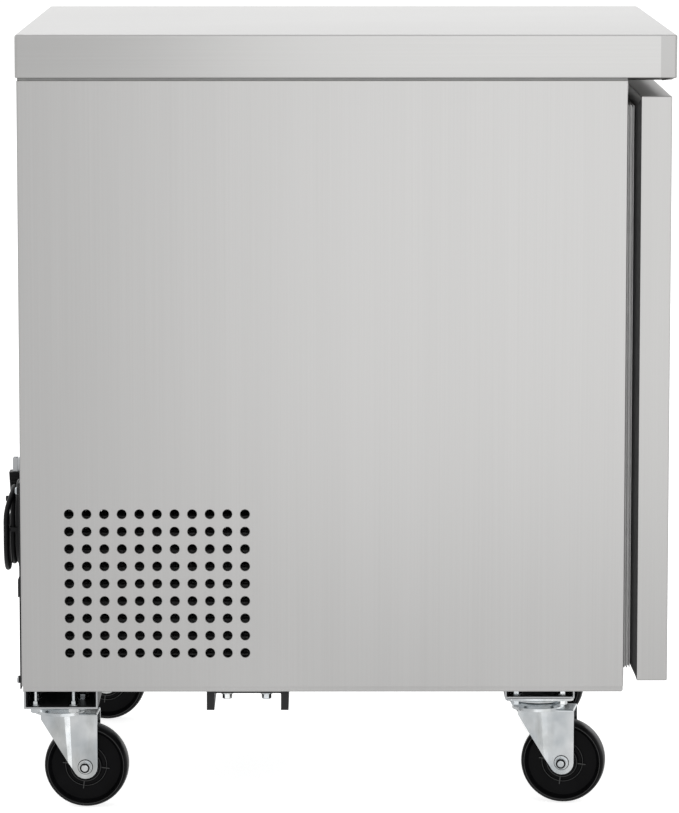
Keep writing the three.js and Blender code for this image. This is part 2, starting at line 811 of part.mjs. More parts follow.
// ---- Refrigeration unit in the machine compartment ----
const roomFront = compartmentWall + sheet + gap;
const roomRear = bodyRear - sheet - gap - 1;
const trayTop = bottomSheetUnder + 2;
place(
  "unit_base",
  cut(
    block([-coreX, coreX], [roomFront, roomRear], [bottomSheetUnder, bottomSheetUnder + 14]),
    block([-coreX - 1, coreX + 1], [roomFront + 2, roomRear - 2], [trayTop, bottomSheetUnder + 15]),
  ),
  galvanised,
);
const floor = trayTop + gap;
const roomMiddle = (roomFront + roomRear) / 2;
const pot = { x: coreX - 156, radius: 72, feet: 12, plate: 3, headroom: 49.8 };
const potFoot = floor + pot.feet + pot.plate;
const potHeight = compartmentTop - pot.headroom - potFoot;
place(
  "compressor",
  join(
    block([pot.x - 84, pot.x + 84], [roomMiddle - 60, roomMiddle + 60], [floor + pot.feet, potFoot]),
    ...[-1, 1].flatMap((i) =>
      [-1, 1].map((j) =>
        rod("z", 10, [floor, floor + pot.feet + 1], [pot.x + 70 * i, roomMiddle + 46 * j], 10),
      ),
    ),
    turned(
      "z",
      [
        [0, 0],
        [pot.radius - 18, 0],
        [pot.radius - 4, 12],
        [pot.radius, 30],
        [pot.radius, potHeight - 56],
        [pot.radius - 6, potHeight - 30],
        [pot.radius - 26, potHeight - 8],
        [0, potHeight],
      ].map(([r, z]) => [r, potFoot - 1 + z]),
      [pot.x, roomMiddle],
      16,
    ),
    block(
      [pot.x - pot.radius - 18, pot.x - pot.radius + 8],
      [roomMiddle - 22, roomMiddle + 22],
      [potFoot + potHeight - 90, potFoot + potHeight - 30],
    ),
  ),
  blackSteel,
);
const condenser = {
  x: [-coreX + 22, -coreX + 64],
  y: [roomFront + 14, roomRear - 46],
  z: [floor, compartmentTop - 18.8],
};
const toCondenser = finned(condenser.y, condenser.x, 22, 3, 6);
const condenserComb = drawn(toCondenser.getPoints().map((p) => [p.y, p.x]).reverse());
place("condenser_coil", alongZ(condenserComb, ...condenser.z), aluminium);
const condenserFanRadius = (condenser.z[1] - condenser.z[0]) / 2 - 21;
const condenserFan = {
  y: (condenser.y[0] + condenser.y[1]) / 2,
  z: condenser.z[1] - condenserFanRadius - 10,
};
const hubX = [condenser.x[1] + 12, condenser.x[1] + 34];
place(
  "condenser_fan",
  fan("x", condenserFanRadius, 22, hubX, 5, [condenserFan.y, condenserFan.z], 4),
  blackPlastic,
);
const fanFoot = (half) => [condenserFan.y - half, condenserFan.y + half];
place(
  "condenser_fan_motor",
  join(
    rod("x", 38, [hubX[1] + 3, hubX[1] + 58], [condenserFan.y, condenserFan.z], 18),
    rod("x", 4, [hubX[1] - 14, hubX[1] + 4], [condenserFan.y, condenserFan.z], 8),
    block([hubX[1] + 24, hubX[1] + 30], fanFoot(16), [floor, condenserFan.z - 20]),
    block([hubX[1] + 10, hubX[1] + 50], fanFoot(30), [floor, floor + 3]),
  ),
  blackSteel,
);
place(
  "control_box",
  block(
    [coreX - 62, coreX - 8],
    [roomFront + 2, roomFront + 92],
    [compartmentTop - 130, compartmentTop - 20],
  ),
  greyPlastic,
);
const lineStart = [pot.x - pot.radius - 30, roomMiddle + 50, potFoot + potHeight - 33];
const lineEnd = [condenser.x[1] + 60, condenser.y[1] + 16, compartmentTop - 32.8];
place(
  "filter_drier",
  join(
    tube(
      [
        lineStart,
        [lineStart[0] - 60, lineStart[1] + 20, lineStart[2] + 30],
        [lineEnd[0] + 130, lineEnd[1], lineEnd[2]],
        [lineEnd[0] + 60, lineEnd[1], lineEnd[2]],
        lineEnd,
      ],
      3,
      8,
      12,
    ),
    rod("x", 11, [lineEnd[0] + 40, lineEnd[0] + 120], [lineEnd[1], lineEnd[2]], 12),
  ),
  copper,
);

// ---- Rear cover: a black sheet with rows of louvre slots, its screws at the corners ----
const cover = { side: 3, bottom: 3, lap: 10, sheet: 1.6 };
const louvre = { columns: 4, height: 6, length: 110, pitch: 18, side: 62, foot: 34 };
const coverFront = bodyRear + gap;
const coverRear = coverFront + cover.sheet;
const coverX = panelX - cover.side;
const coverZ = [underside + cover.bottom, compartmentTop + cover.lap];
const switchHole = { x: [coverX - 154.75, coverX - 132.75], z: [coverZ[1] - 42, coverZ[1] - 14] };
const slots = [];
const louvreRoom = switchHole.z[0] - louvre.height - coverZ[0] - louvre.foot;
const louvreRows = 1 + Math.floor(louvreRoom / louvre.pitch);
const louvreStep = (2 * (coverX - louvre.side) - louvre.length) / (louvre.columns - 1);
for (let row = 0; row < louvreRows; row++) {
  for (let column = 0; column < louvre.columns; column++) {
    const x = -coverX + louvre.side + column * louvreStep;
    const z = coverZ[0] + louvre.foot + row * louvre.pitch;
    slots.push(block([x, x + louvre.length], [coverFront - 1, coverRear + 1], [z, z + louvre.height]));
  }
}
const screwHeights = [coverZ[0] + 10, coverZ[1] - 10];
const screwSpots = [-1, 1].flatMap((side) => screwHeights.map((z) => [side * (coverX - 8), z]));
place(
  "rear_cover",
  cut(
    join(
      block([-coverX, coverX], [coverFront, coverRear], coverZ),
      ...screwSpots.map(([x, z]) => rod("y", 4.5, [coverFront + 0.5, coverRear + 2.4], [x, z], 10)),
    ),
    ...slots,
    block(switchHole.x, [coverFront - 1, coverRear + 1], switchHole.z),
  ),
  blackSteel,
);
const rocker = {
  x: [switchHole.x[0] + 0.8, switchHole.x[1] - 0.8],
  z: [switchHole.z[0] + 1, switchHole.z[1] - 1],
};
place(
  "power_switch",
  alongX(
    drawn([
      [coverFront - 7, rocker.z[0] + 4],
      [coverRear + 1, rocker.z[0]],
      [coverRear + 2, (rocker.z[0] + rocker.z[1]) / 2],
      [coverRear + 4, rocker.z[1]],
      [coverFront - 7, rocker.z[1] - 4],
    ]),
    ...rocker.x,
  ),
  blackPlastic,
);

// ---- Mains lead: an elbow gland, the free lead, a hank on a hook, a tail and the plug ----
// Places are given across, out from the cover's rear face and up from its lower edge.
const out = (d) => coverRear + d;
const up = (d) => coverZ[0] + d;
const glandAxis = { y: out(10.9), z: up(71.6) };
const glandBody = { x: [-70, -46], halfHeight: 11, depth: 20 };
const glandTip = -18;
place(
  "cord_gland",
  join(
    block(
      glandBody.x,
      [out(gap), out(gap + glandBody.depth)],
      [glandAxis.z - glandBody.halfHeight, glandAxis.z + glandBody.halfHeight],
    ),
    rod("x", 8.5, [glandBody.x[1] - 1, glandTip], [glandAxis.y, glandAxis.z], 12, 5),
  ),
  cable,
);
const hank = { halfWidth: 39.5, z: [up(88.6), up(200.6)], y: [out(7.9), out(41.9)] };
const hankBlock = (clearance) => {
  const across = [-hank.halfWidth - clearance, hank.halfWidth + clearance];
  const tall = [hank.z[0] - clearance, hank.z[1] + clearance];
  return alongY(
    roundedRectangle(across, tall, hank.halfWidth - 0.5),
    hank.y[0] - clearance,
    hank.y[1] + clearance,
    8,
  );
};
const hook = { z: up(172.6), radius: 3.5, y: [out(gap), hank.y[1] - 3] };
const hookHole = rod("y", hook.radius + gap, [hank.y[0] - 1, hook.y[1] + gap], [0, hook.z], 12);
place("cord_hank", cut(hankBlock(0), hookHole), cable);
place(
  "cord_hook",
  join(
    rod("y", hook.radius, hook.y, [0, hook.z], 12),
    rod("y", 7, [hook.y[0], hook.y[0] + 2], [0, hook.z], 12),
  ),
  blackSteel,
);
const lead = [
  [glandTip + gap, glandAxis.y, glandAxis.z],
  [-10, glandAxis.y, glandAxis.z],
  [-2, out(9.9), up(72.2)],
  [8, out(7.9), up(75.1)],
  [17, out(5.9), up(81.6)],
  [24, out(5.1), up(91.6)],
  [27, out(5.5), up(103.6)],
  [27.5, out(8.5), up(115.6)],
];
place("cord_lead", cut(tube(lead, cordDiameter / 2, 8, 12), hankBlock(gap)), cable);
const plug = { x: 52, y: out(30), z: [up(155.6), up(199.6)], halfX: 11.5, halfY: 7.5, prong: 17 };
const tail = [
  [26, out(34), up(97.6)],
  [38, out(33), up(106.6)],
  [46, out(31.5), up(119.6)],
  [50.6, out(30.5), up(132.6)],
  [plug.x, plug.y, up(143.6)],
  [plug.x, plug.y, plug.z[0] - gap],
];
place("cord_tail", cut(tube(tail, cordDiameter / 2, 8, 12), hankBlock(gap)), cable);
const prong = { half: 0.8, apart: 6, depth: 3 };
place(
  "power_plug",
  join(
    block([plug.x - plug.halfX, plug.x + plug.halfX], [plug.y - plug.halfY, plug.y + plug.halfY], plug.z),
    ...[-prong.apart, prong.apart].map((x) =>
      block(
        [plug.x + x - prong.half, plug.x + x + prong.half],
        [plug.y - prong.depth, plug.y + prong.depth],
        [plug.z[1] - 1, plug.z[1] + plug.prong],
      ),
    ),
  ),
  cable,
);

export default fridge;
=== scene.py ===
import math

import bmesh
import bpy
from mathutils import Matrix, Vector


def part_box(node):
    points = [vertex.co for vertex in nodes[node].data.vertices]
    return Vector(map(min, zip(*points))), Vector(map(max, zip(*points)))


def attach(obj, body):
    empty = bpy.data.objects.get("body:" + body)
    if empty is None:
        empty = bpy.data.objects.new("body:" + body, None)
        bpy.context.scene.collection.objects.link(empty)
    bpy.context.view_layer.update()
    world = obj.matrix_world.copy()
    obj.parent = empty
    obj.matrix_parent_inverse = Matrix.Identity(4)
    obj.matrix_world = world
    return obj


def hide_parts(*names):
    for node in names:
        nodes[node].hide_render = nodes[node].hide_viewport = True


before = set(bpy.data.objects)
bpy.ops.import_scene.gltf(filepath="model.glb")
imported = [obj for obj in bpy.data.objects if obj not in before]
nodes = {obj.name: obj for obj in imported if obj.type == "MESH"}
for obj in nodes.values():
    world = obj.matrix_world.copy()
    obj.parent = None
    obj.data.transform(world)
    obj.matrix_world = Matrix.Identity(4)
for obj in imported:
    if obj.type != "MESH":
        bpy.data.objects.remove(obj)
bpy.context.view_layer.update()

# ---- The room ----
# A pale floor in an even white studio, seen by a long lens from the fridge's left side, a little
# above its worktop. Wide soft lights stand off each side and two small ones lie low by the casters.
# Lights and camera are in metres. The floor stays out of reflections, so the panels keep their ramp.
scene = bpy.context.scene
scene.view_settings.view_transform = "Standard"
eye = Vector((-5.6855, 0.0202, 1.2061))
down, aside = 0.1333, -0.0024
look = Vector((math.cos(down) * math.cos(aside), math.cos(down) * math.sin(aside), -math.sin(down)))
lens = bpy.data.cameras.new("lens")
lens.lens = 205.5
lens.clip_end = 60
camera = bpy.data.objects.new("camera", lens)
camera.location = eye
camera.rotation_euler = look.to_track_quat("-Z", "Y").to_euler()
scene.collection.objects.link(camera)
scene.camera = camera


class Value:
    """A shader socket that arithmetic can be written on."""

    def __init__(self, tree, socket=None):
        self.tree = tree
        self.socket = socket

    def node(self, kind, settings=None, sockets=None, out=0):
        made = self.tree.nodes.new("ShaderNode" + kind)
        for name, value in (settings or {}).items():
            setattr(made, name, value)
        for name, value in (sockets or {}).items():
            self.plug(made.inputs[name], value)
        return Value(self.tree, made.outputs[out])

    def plug(self, socket, value):
        if isinstance(value, Value):
            self.tree.links.new(value.socket, socket)
        else:
            socket.default_value = value

    def maths(self, operation, a, b):
        return self.node("Math", {"operation": operation}, {0: a, 1: b})

    def __add__(self, other):
        return self.maths("ADD", self, other)

    def __radd__(self, other):
        return self.maths("ADD", other, self)

    def __mul__(self, other):
        return self.maths("MULTIPLY", self, other)

    def __rmul__(self, other):
        return self.maths("MULTIPLY", other, self)

    def __lt__(self, other):
        return self.maths("LESS_THAN", self, other)


def blend(value, low, high, factor):
    """A colour between two others."""
    return value.node("Mix", {"data_type": "RGBA"}, {0: factor, 6: (*low, 1), 7: (*high, 1)}, out=2)


def blend_colours(value, first, second, factor):
    """From a colour that already varies to a plain one."""
    return value.node("Mix", {"data_type": "RGBA"}, {0: factor, 6: first, 7: (*second, 1)}, out=2)


def finish(name, paint, **constant):
    """A material: constants go on the shader's own sockets and paint gives what varies."""
    material = bpy.data.materials.new(name)
    material.use_nodes = True
    tree = material.node_tree
    shader = tree.nodes["Principled BSDF"]
    start = Value(tree)
    for socket, value in constant.items():
        shader.inputs[socket.replace("_", " ")].default_value = value
    for socket, value in paint(start).items():
        start.plug(shader.inputs[socket.replace("_", " ")], value)
    return material


def place(value):
    return value.node("TexCoord", out=3)


def grain(value, scale, stretch=(1, 1, 1), detail=3.0):
    """Noise on the object's own coordinates, from 0 to 1."""
    stretched = value.node("Mapping", None, {"Vector": place(value), "Scale": stretch})
    noise = {"Vector": stretched, "Scale": scale, "Detail": detail, "Roughness": 0.55}
    return value.node("TexNoise", None, noise)


def bump(value, height, strength, distance):
    return value.node("Bump", None, {"Height": height, "Strength": strength, "Distance": distance})


world = bpy.data.worlds.new("studio")
scene.world = world
world.use_nodes = True
sky = Value(world.node_tree)
background = world.node_tree.nodes["Background"]
seen = sky.node("LightPath", out=0)
LIT, SEEN = 0.715, 1.08
sky.plug(background.inputs["Strength"], LIT + (SEEN - LIT) * seen)
background.inputs["Color"].default_value = (1, 1, 1, 1)


def softbox(name, at, towards, size, power):
    lamp = bpy.data.lights.new(name, "AREA")
    lamp.shape = "RECTANGLE"
    lamp.size, lamp.size_y = size
    lamp.energy = power
    stand = bpy.data.objects.new(name, lamp)
    stand.location = at
    stand.rotation_euler = (Vector(towards) - Vector(at)).to_track_quat("-Z", "Y").to_euler()
    stand.visible_camera = False
    scene.collection.objects.link(stand)


softbox("door_side_light", (-1.6, -0.92, 1.2), (0, -0.92, 1.2), (2.4, 2.3), 9.4)
softbox("front_light", (0.9, -2.2, 0.47), (0.9, 0, 0.47), (2.2, 0.9), 4.2)
softbox("right_side_light", (1.6, -0.92, 0.47), (0, -0.92, 0.47), (2.4, 0.9), 3.8)
softbox("rear_caster_light", (-1.2, 0.13, -0.10), (0, 0.13, -0.10), (0.14, 0.2), 0.09)
softbox("front_caster_light", (-1.2, -0.27, -0.10), (0, -0.27, -0.10), (0.12, 0.2), 0.07)
softbox("rear_light", (1.4, 3.6, 2.2), (0, 0.2, 0.4), (2.4, 2.0), 16)
softbox("far_light", (5.0, 0, 2.2), (0, 0, 1.0), (7.0, 2.6), 30)


def floor_paint(v):
    shade = grain(v, 3.0)
    pale = blend(v, (0.59, 0.59, 0.59), (0.62, 0.62, 0.615), shade)
    return {"Base_Color": pale}


floor_bmesh = bmesh.new()
bmesh.ops.create_grid(floor_bmesh, x_segments=1, y_segments=1, size=20)
floor_mesh = bpy.data.meshes.new("floor")
floor_bmesh.to_mesh(floor_mesh)
floor_bmesh.free()
floor = bpy.data.objects.new("floor", floor_mesh)
FLOOR_GAP = 0.0005
floor.location.z = -FLOOR_GAP
scene.collection.objects.link(floor)
floor.visible_glossy = floor.visible_diffuse = False
glow = {"Emission_Color": (1, 1, 1, 1), "Emission_Strength": 0.82}
floor_mesh.materials.append(finish("pale_floor", floor_paint, Roughness=0.9, **glow))

# ---- Mains lead ----
# A round three-core cable, 7 mm across, from the elbow gland into a hank of eight turns over a
# hook on the rear cover, then up beside the hank to its plug. Lengths here are in millimetres.
MM = 0.001
CORD = 7.0


def mottled(dark, light, patch, rough, fine=None, detail=3.0):
    """Two tones in patches: rough is (least, spread) and fine is a bump's (scale, strength)."""

    def paint(v):
        tone = grain(v, patch, detail=detail)
        varied = {"Base_Color": blend(v, dark, light, tone), "Roughness": rough[0] + rough[1] * tone}
        if fine:
            varied["Normal"] = bump(v, grain(v, fine[0]), fine[1], 0.0004)
        return varied

    return paint


jacket = mottled((0.004, 0.004, 0.005), (0.012, 0.012, 0.013), 260, (0.34, 0.2), (1400, 0.18), 4)
cable = finish("cable_jacket", jacket, Specular_IOR_Level=0.25)


def standing(name, bm, material, sharp, unit=MM):
    """The object a bmesh becomes: smooth, but for the edges sharper than an angle in degrees."""
    bmesh.ops.scale(bm, vec=(unit, unit, unit), verts=bm.verts)
    for face in bm.faces:
        face.smooth = True
    for line in bm.edges:
        line.smooth = line.calc_face_angle(0) < math.radians(sharp)
    mesh = bpy.data.meshes.new(name)
    bm.to_mesh(mesh)
    bm.free()
    mesh.materials.append(material)
    piece = bpy.data.objects.new(name, mesh)
    scene.collection.objects.link(piece)
    return piece


def soft_edges(piece, width, steps, sharp):
    soften = piece.modifiers.new("soft_edges", "BEVEL")
    soften.width = width * MM
    soften.segments = steps
    soften.limit_method = "ANGLE"
    soften.angle_limit = math.radians(sharp)
    soften.harden_normals = True


def made(name, bm, material, slot, body="root", instead=(), edge=0.0, steps=2, sharp=32):
    """A piece from a bmesh in millimetres, with soft edges if it asks for them."""
    bmesh.ops.remove_doubles(bm, verts=bm.verts, dist=1e-4)
    bmesh.ops.recalc_face_normals(bm, faces=bm.faces)
    piece = standing(name, bm, material, sharp)
    if edge:
        soft_edges(piece, edge, steps, sharp)
    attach(piece, body)
    if instead:
        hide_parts(*instead)
    return piece


FOLD = 17.0
HANK_MIDDLE = 297.0
columns = (22.0, 29.1, 36.2)
layers = (395.4, 402.5, 409.6)
turns = [(columns[0], layers[0]), (columns[1], layers[0]), (columns[2], layers[0])]
turns += [(columns[2], layers[1]), (columns[1], layers[1]), (columns[0], layers[1])]
turns += [(columns[0], layers[2]), (columns[1], layers[2]), (37.0, 417.2)]
crossings = (0.86, 0.86, 0.78, 0.69, 0.69, 0.6, 0.52, 0.44)


def round_the_hank(radius, part):
    """Across and up, part of the way round one turn with straight sides and round ends."""
    along = part * (4 * FOLD + 2 * math.pi * radius)
    if along < 2 * FOLD:
        return radius, along - FOLD
    along -= 2 * FOLD
    if along < math.pi * radius:
        return radius * math.cos(along / radius), FOLD + radius * math.sin(along / radius)
    along -= math.pi * radius
    if along < 2 * FOLD:
        return -radius, FOLD - along
    along -= 2 * FOLD
    return -radius * math.cos(along / radius), -FOLD - radius * math.sin(along / radius)


route = [(-17.7, 392, 228), (-10, 392, 228), (-2, 391.2, 228.5), (7, 389.6, 231)]
route += [(15, 387.6, 236), (20.5, 386.4, 243), (23.2, 386.6, 251.5), (23.6, 388.6, 260.5)]
route += [(22.8, 391.6, 269.5), (22.1, 394.2, 276.5)]
PER_TURN = 36
for step in range(int(PER_TURN * 7.955)):
    turn = step / PER_TURN
    radius, out = turns[0]
    for k, crossing in enumerate(crossings):
        through = min(1, max(0, (turn - k - crossing + 0.085) / 0.17))
        through = through * through * (3 - 2 * through)
        radius += (turns[k + 1][0] - turns[k][0]) * through
        out += (turns[k + 1][1] - turns[k][1]) * through
    across, up = round_the_hank(radius, turn % 1)
    route.append((across, out, HANK_MIDDLE + up))
route += [(40.4, 418.6, 281), (44, 418.9, 289), (47.2, 417.6, 296), (49.9, 415, 302.3)]
route += [(51.5, 412.3, 307), (52, 411.1, 311.7)]
route = [Vector(point) * MM for point in route]

curve = bpy.data.curves.new("mains_lead", "CURVE")
curve.dimensions = "3D"
curve.bevel_depth = CORD / 2 * MM
curve.bevel_resolution = 5
curve.use_fill_caps = True
spline = curve.splines.new("POLY")
spline.points.add(len(route) - 1)
for point, where in zip(spline.points, route):
    point.co = (*where, 1)
spline.use_smooth = True
curve.materials.append(cable)
mains_lead = bpy.data.objects.new("mains_lead", curve)
scene.collection.objects.link(mains_lead)
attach(mains_lead, "root")
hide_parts("cord_lead", "cord_hank", "cord_tail")
lead_length = sum((b - a).length for a, b in zip(route, route[1:]))


AXES = {"x": Vector((1, 0, 0)), "y": Vector((0, 1, 0)), "z": Vector((0, 0, 1))}


def turned(bm, profile, axis, centre, sides):
    """Spins a profile of (radius, distance along the axis) into a closed round solid."""
    side = AXES["y" if axis == "x" else "x"]
    along = AXES[axis]
    points = [bm.verts.new(Vector(centre) + side * r + along * a) for r, a in profile]
    lines = [bm.edges.new(pair) for pair in zip(points, points[1:])]
    bmesh.ops.spin(
        bm, geom=points + lines, cent=centre, axis=along, angle=2 * math.pi, steps=sides, use_merge=True
    )


def blocked(bm, low, high):
    """A rectangular block between two corners."""
    size = [b - a for a, b in zip(low, high)]
    middle = [(a + b) / 2 for a, b in zip(low, high)]
    turn = Matrix.Translation(middle) @ Matrix.Diagonal((*size, 1))
    return bmesh.ops.create_cube(bm, size=1, matrix=turn)["verts"]


def corners(node):
    low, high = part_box(node)
    return low / MM, high / MM


gland_low, gland_high = corners("cord_gland")
gland = bmesh.new()
blocked(gland, gland_low, (-46, gland_high.y, gland_high.z))
flange_low = gland_low - Vector((5, 0.2, 4))
blocked(gland, flange_low, (-41, gland_low.y + 3, gland_high.z + 4))
ribs = [(0, -47), (9, -47), (9, -43)]
for rib in range(5):
    start, girth = -43 + rib * 4.6, 8.4 - rib * 0.65
    ribs += [(girth, start), (girth, start + 2.6), (girth - 1.6, start + 2.9), (girth - 1.6, start + 4.3)]
ribs += [(4.6, -19.6), (4.2, -18), (0, -18)]
turned(gland, ribs, "x", (0, 392, 228), 28)
gland = made("cord_gland_moulding", gland, cable, "cable", instead=["cord_gland"], edge=0.6)

_, plug_high = corners("power_plug")
PLUG_X, PLUG_Y, PLUG_TOP = 52.0, 411.1, 356.0
plug = bmesh.new()
sleeve = [(0, 311.7), (4.4, 311.7), (5.0, 315), (5.0, 317), (5.6, 318), (5.6, 320)]
sleeve += [(6.3, 321), (6.3, 323), (7.2, 324), (7.2, 328), (0, 328)]
turned(plug, sleeve, "z", (PLUG_X, PLUG_Y, 0), 24)
body = blocked(plug, (PLUG_X - 11.5, PLUG_Y - 7.5, 326), (PLUG_X + 11.5, PLUG_Y + 7.5, PLUG_TOP))
for vert in body:
    if vert.co.z < 330:
        vert.co.x = PLUG_X + (vert.co.x - PLUG_X) * 0.7
        vert.co.y = PLUG_Y + (vert.co.y - PLUG_Y) * 0.8
for side in (-1, 1):
    x = PLUG_X + side * 10.4
    for ridge in range(4):
        z = 334 + ridge * 4.5
        blocked(plug, (x - 1.6, PLUG_Y - 5, z), (x + 1.6, PLUG_Y + 5, z + 2))
plug = made("plug_moulding", plug, cable, "cable", instead=["power_plug"], edge=1.0, steps=3)

nickel = mottled((0.56, 0.58, 0.60), (0.72, 0.73, 0.74), 180, (0.24, 0.16))
plated = finish("nickel_plate", nickel, Metallic=1.0)
pins = bmesh.new()
root, tip = PLUG_TOP - 1, plug_high.z
for side in (-1, 1):
    x = PLUG_X + 6 * side
    blocked(pins, (x - 0.8, PLUG_Y - 3.1, root), (x + 0.8, PLUG_Y + 3.1, tip))
earth = [(0, root), (2.4, root), (2.4, tip - 2), (1.2, tip), (0, tip)]
turned(pins, earth, "z", (PLUG_X, PLUG_Y - 5, 0), 16)
pins = made("plug_pins", pins, plated, "zinc", edge=0.3)

ties = bmesh.new()
for side in (-1, 1):
    loop = bmesh.ops.create_circle(ties, segments=36, radius=1)["verts"]
    for vert in loop:
        squared = max(abs(vert.co.x), abs(vert.co.y)) ** 0.72
        vert.co = Vector(
            (side * 29.1 + vert.co.x / squared * 12.2, 402.5 + vert.co.y / squared * 11.6, 293.8)
        )
    band = bmesh.ops.extrude_edge_only(ties, edges=list({e for v in loop for e in v.link_edges}))
    rims = [v for v in band["geom"] if isinstance(v, bmesh.types.BMVert)]
    bmesh.ops.translate(ties, vec=(0, 0, 5.2), verts=rims)
bmesh.ops.solidify(ties, geom=ties.faces[:], thickness=1.1)
for side in (-1, 1):
    blocked(ties, (side * 29.1 - 3.6, 413.4, 293), (side * 29.1 + 3.6, 416.4, 299.8))
ties = made("hank_ties", ties, cable, "cable", edge=0.3)

# ---- Side panels ----
# Stainless sheet, brushed upright. Each is folded in at the front, the rear and the bottom, has a
# stepped hem along its foot, and round vent holes with rolled-in rims beside the machine space.


def brushed_paint(across, along, fine=520, tone=(0.560, 0.556, 0.550), lift=0.055):
    """Hair-fine scratches that run one way: stretch is large across them and small along."""

    def paint(v):
        hair = grain(v, 1, [fine if a else (2.2 if l else fine) for a, l in zip(across, along)], 4)
        broad = grain(v, 1, [34 if a else (0.8 if l else 34) for a, l in zip(across, along)], 2)
        cloud = grain(v, 2.2, detail=1)
        mix = 0.55 * hair + 0.25 * broad + 0.20 * cloud
        low = tuple(c - lift for c in tone)
        high = tuple(c + lift for c in tone)
        return {
            "Base_Color": blend(v, low, high, mix),
            "Roughness": 0.27 + 0.16 * hair + 0.05 * cloud,
            "Normal": bump(v, hair, 0.10, 0.0003),
        }

    return paint


upright = finish("stainless_brushed_upright", brushed_paint((1, 1, 0), (0, 0, 1)), Metallic=1.0)
SHEET = 1.2
BEND = 1.6
panel_low, panel_high = corners("left_side_panel")
VENT_RADIUS, VENT_PITCH = 5.2, 20.5
VENT_COLUMNS, VENT_ROWS = 11, 9
FIRST_VENT = (panel_high.y - 56.7, panel_low.z + 46.4)
HEM = 6.7
RIM = 0.75
ROLLED_IN = ((0.22, 0.955), (0.75, 0.917), (1.1, 1.0))
FRONT_FLANGE, REAR_FLANGE, FOOT_FLANGE = 9, 14, 8


def side_panel(side):
    bm = bmesh.new()
    low = (panel_low.y + BEND, panel_low.z + HEM)
    high = (panel_high.y - BEND, panel_high.z)
    outline = (low, (high[0], low[1]), high, (low[0], high[1]))
    ring = [bm.verts.new((0, y, z)) for y, z in outline]
    foot, rear, _, front = [bm.edges.new((ring[i], ring[(i + 1) % 4])) for i in range(4)]
    rims = []
    for column in range(VENT_COLUMNS):
        for row in range(VENT_ROWS):
            y, z = FIRST_VENT[0] - column * VENT_PITCH, FIRST_VENT[1] + row * VENT_PITCH
            centre = Vector((0, y, z))
            turn = Matrix.Translation(centre) @ Matrix.Rotation(math.pi / 2, 4, "Y")
            rim = bmesh.ops.create_circle(bm, segments=24, radius=VENT_RADIUS + RIM, matrix=turn)
            rims.append((centre, {e for v in rim["verts"] for e in v.link_edges}))
    bmesh.ops.triangle_fill(bm, use_beauty=True, use_dissolve=False, edges=bm.edges[:], normal=(-1, 0, 0))
    for centre, rim in rims:
        for inward, shrink in ROLLED_IN:
            grown = bmesh.ops.extrude_edge_only(bm, edges=list(rim))["geom"]
            verts = [g for g in grown if isinstance(g, bmesh.types.BMVert)]
            rim = [g for g in grown if isinstance(g, bmesh.types.BMEdge)]
            rim = [e for e in rim if all(v in set(verts) for v in e.verts)]
            bmesh.ops.translate(bm, vec=(inward, 0, 0), verts=verts)
            bmesh.ops.scale(bm, vec=(1, shrink, shrink), space=Matrix.Translation(-centre), verts=verts)

    def drawn_out(edge, *moves):
        for move in moves:
            grown = bmesh.ops.extrude_edge_only(bm, edges=[edge])["geom"]
            edge = next(g for g in grown if isinstance(g, bmesh.types.BMEdge) and len(g.link_faces) == 1)
            bmesh.ops.translate(bm, vec=move, verts=edge.verts[:])
        return edge

    def folded(edge, centre, axis, angle, flange):
        bent = bmesh.ops.spin(
            bm, geom=[edge, *edge.verts], cent=centre, axis=axis, angle=angle, steps=5
        )["geom_last"]
        last = next(g for g in bent if isinstance(g, bmesh.types.BMEdge))
        drawn_out(last, flange)

    folded(front, (BEND, low[0], 0), (0, 0, 1), math.pi / 2, (FRONT_FLANGE - BEND, 0, 0))
    folded(rear, (BEND, high[0], 0), (0, 0, 1), -math.pi / 2, (REAR_FLANGE - BEND, 0, 0))
    toe = drawn_out(foot, (0.45, 0, -0.7), (0, 0, -(HEM - 0.7 - BEND)))
    folded(toe, (BEND + 0.45, 0, panel_low.z + BEND), (0, 1, 0), -math.pi / 2, (FOOT_FLANGE - BEND, 0, 0))
    bmesh.ops.remove_doubles(bm, verts=bm.verts, dist=1e-4)
    bmesh.ops.translate(bm, vec=(panel_low.x, 0, 0), verts=bm.verts)
    bmesh.ops.recalc_face_normals(bm, faces=bm.faces)
    if sum((f.normal.x * f.calc_area() for f in bm.faces)) > 0:
        bmesh.ops.reverse_faces(bm, faces=bm.faces)
    if side > 0:
        bmesh.ops.scale(bm, vec=(-1, 1, 1), verts=bm.verts)
        bmesh.ops.reverse_faces(bm, faces=bm.faces)
    return bm


def sheet_metal(name, bm, material, thickness, body="root", instead=()):
    """A folded sheet: the open surface is its outer face and gets its gauge on the inside."""
    piece = standing(name, bm, material, 32)
    gauge = piece.modifiers.new("gauge", "SOLIDIFY")
    gauge.thickness = thickness * MM
    gauge.offset = -1
    gauge.use_even_offset = True
    flat = piece.modifiers.new("flat_faces_stay_flat", "WEIGHTED_NORMAL")
    flat.keep_sharp = True
    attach(piece, body)
    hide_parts(*instead)
    return piece


sheet_metal("left_side_skin", side_panel(-1), upright, SHEET, instead=["left_side_panel"])
sheet_metal("right_side_skin", side_panel(1), upright, SHEET, instead=["right_side_panel"])

# ---- Worktop ----
# A folded pan of brushed stainless with small bend radii and rounded corners. Its side faces carry
# a painted reflection: a darker band over the last 19 mm at the front. The grain runs front to back,
# and a bead of grey seal, whose dark grey is also painted shade for the shadowed seam, closes the
# joint with the cabinet.
top_low, top_high = corners("worktop")
PAINTED_SHADE_END = 19


